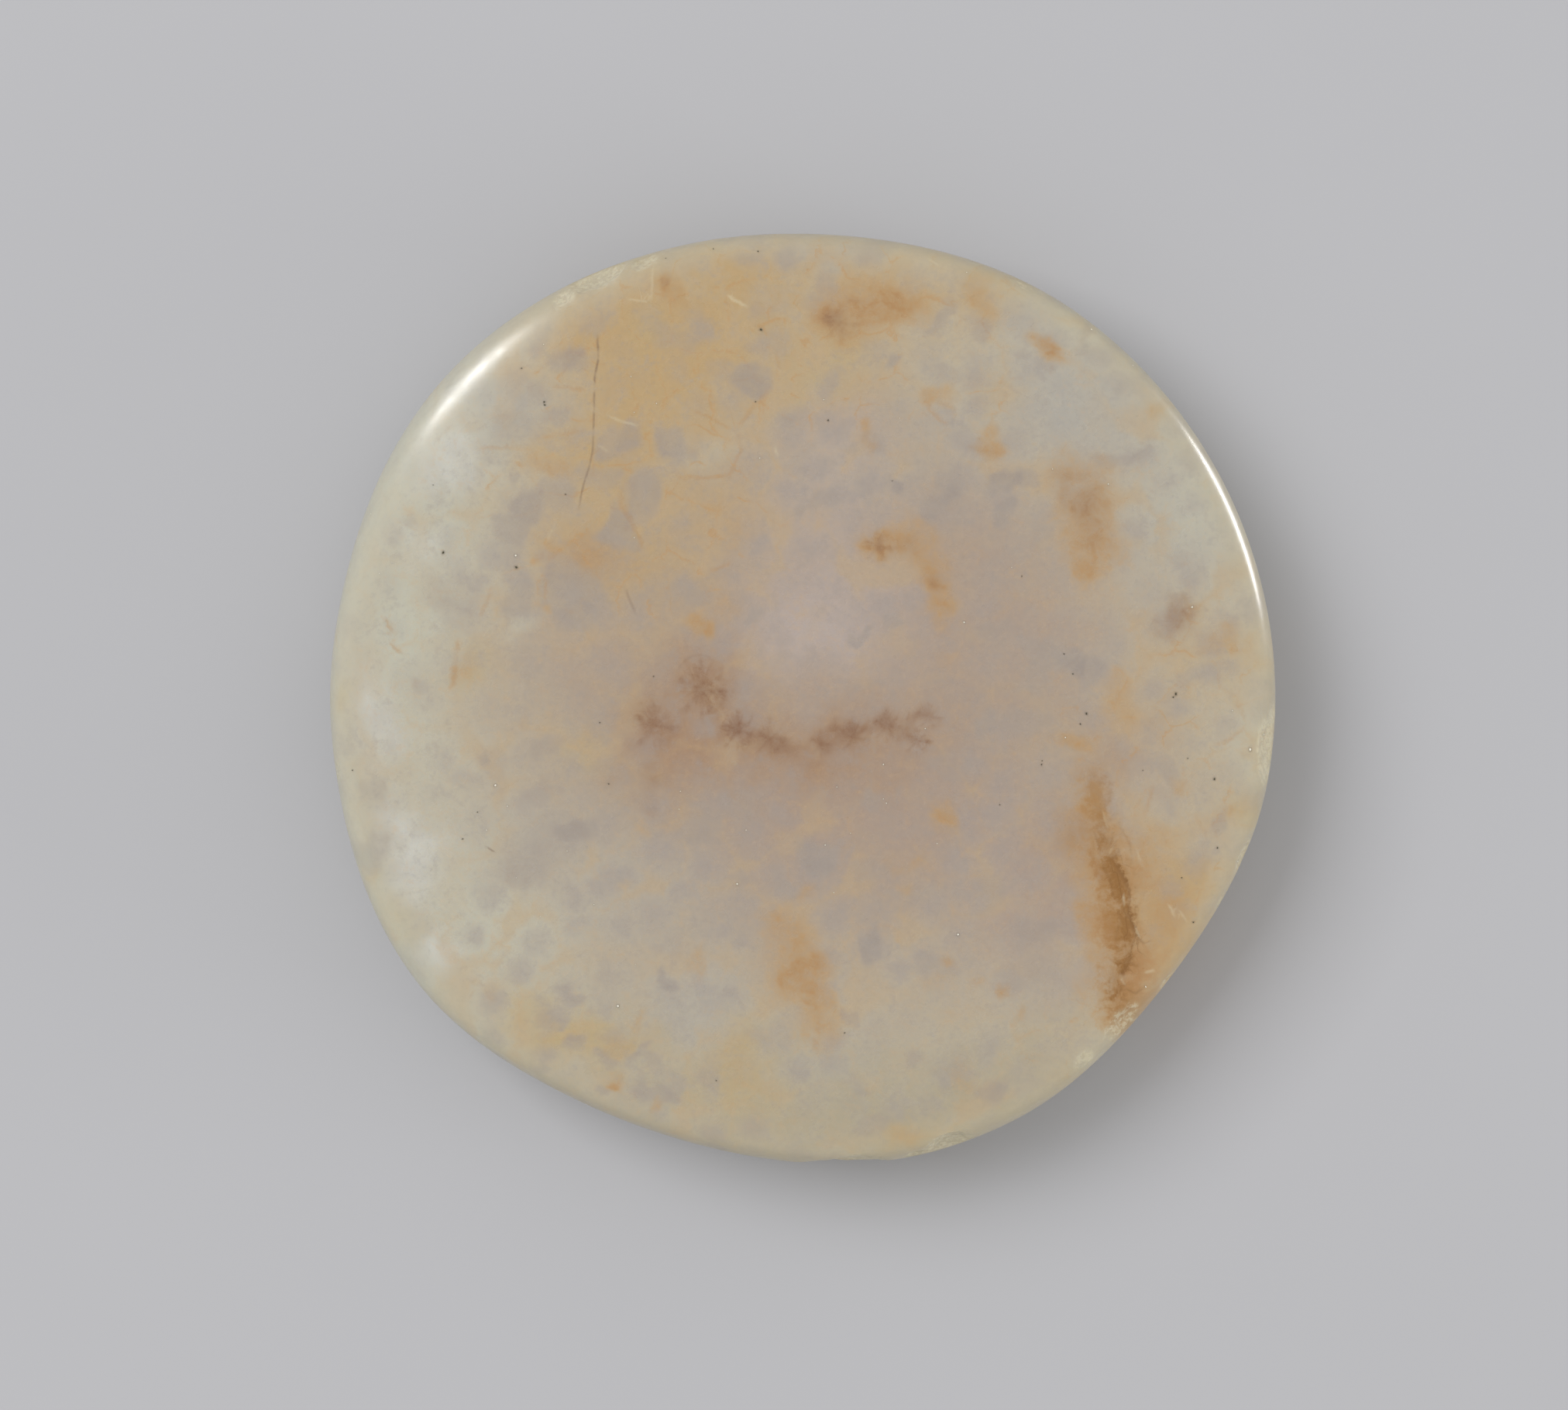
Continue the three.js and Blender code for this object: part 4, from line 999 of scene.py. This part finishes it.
def makeFloor():
    half = setting["floorSize"] / 2
    points = np.array([[-half, -half, 0], [half, -half, 0], [half, half, 0], [-half, half, 0]]) / mm
    points[:, 2] = -setting["floorGap"] / mm
    floor = makeMesh("floor", points, [[0, 1, 2, 3]])
    material, tree, shader = newMaterial("paleFloor")
    raw = addNode(tree, "ShaderNodeTexCoord").outputs["Object"]
    soft = clouds(tree, raw, 25.0, 4.0, 0.6)
    red, green, blue, _ = setting["floorColour"]
    dim = (red * 0.95, green * 0.95, blue * 0.95, 1)
    tree.links.new(mixColour(tree, soft, dim, setting["floorColour"]), shader.inputs["Base Color"])
    shader.inputs["Roughness"].default_value = setting["floorRoughness"]
    shader.inputs["Specular IOR Level"].default_value = 0.0
    floor.data.materials.append(material)
    return floor


def makeLight(name, azimuth, elevation, distance, width, height, power, highlight):
    data = bpy.data.lights.new(name, "AREA")
    data.shape = "RECTANGLE"
    data.size = width
    data.size_y = height
    data.energy = power
    lamp = bpy.data.objects.new(name, data)
    turn, rise = math.radians(azimuth), math.radians(elevation)
    towards = Vector((math.cos(turn) * math.cos(rise), math.sin(turn) * math.cos(rise), math.sin(rise)))
    lamp.location = towards * distance
    lamp.rotation_euler = towards.to_track_quat("Z", "Y").to_euler()
    lamp.visible_camera = False
    lamp.visible_diffuse = not highlight
    lamp.visible_glossy = highlight
    scene.collection.objects.link(lamp)


def makeWorld():
    world = bpy.data.worlds.new("studio")
    world.use_nodes = True
    background = world.node_tree.nodes["Background"]
    background.inputs["Color"].default_value = setting["world"]
    background.inputs["Strength"].default_value = setting["worldStrength"]
    scene.world = world


def makeCamera():
    data = bpy.data.cameras.new("camera")
    data.lens = setting["lens"]
    data.sensor_width = setting["sensor"]
    data.clip_start = setting["clipStart"]
    camera = bpy.data.objects.new("camera", data)
    distance = setting["frameWidth"] * setting["lens"] / setting["sensor"]
    camera.location = (*setting["aim"], thickness * mm / 2 + distance)
    scene.collection.objects.link(camera)
    scene.camera = camera


scene.view_settings.view_transform = "Standard"
pattern = makePattern()
print("pattern nodes:", len(pattern.nodes))
body = makeBead(makeAgate(pattern, makePolish()), makeDrilled(pattern))
makeGrains(body)
print("bead:", len(body.data.polygons), "faces")
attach(body, "root")
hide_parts("bead")
makeFloor()
makeWorld()
for name, values in setting["lights"].items():
    makeLight(name, *values)
makeCamera()
print("setting: floor,", len(setting["lights"]), "lights and camera")
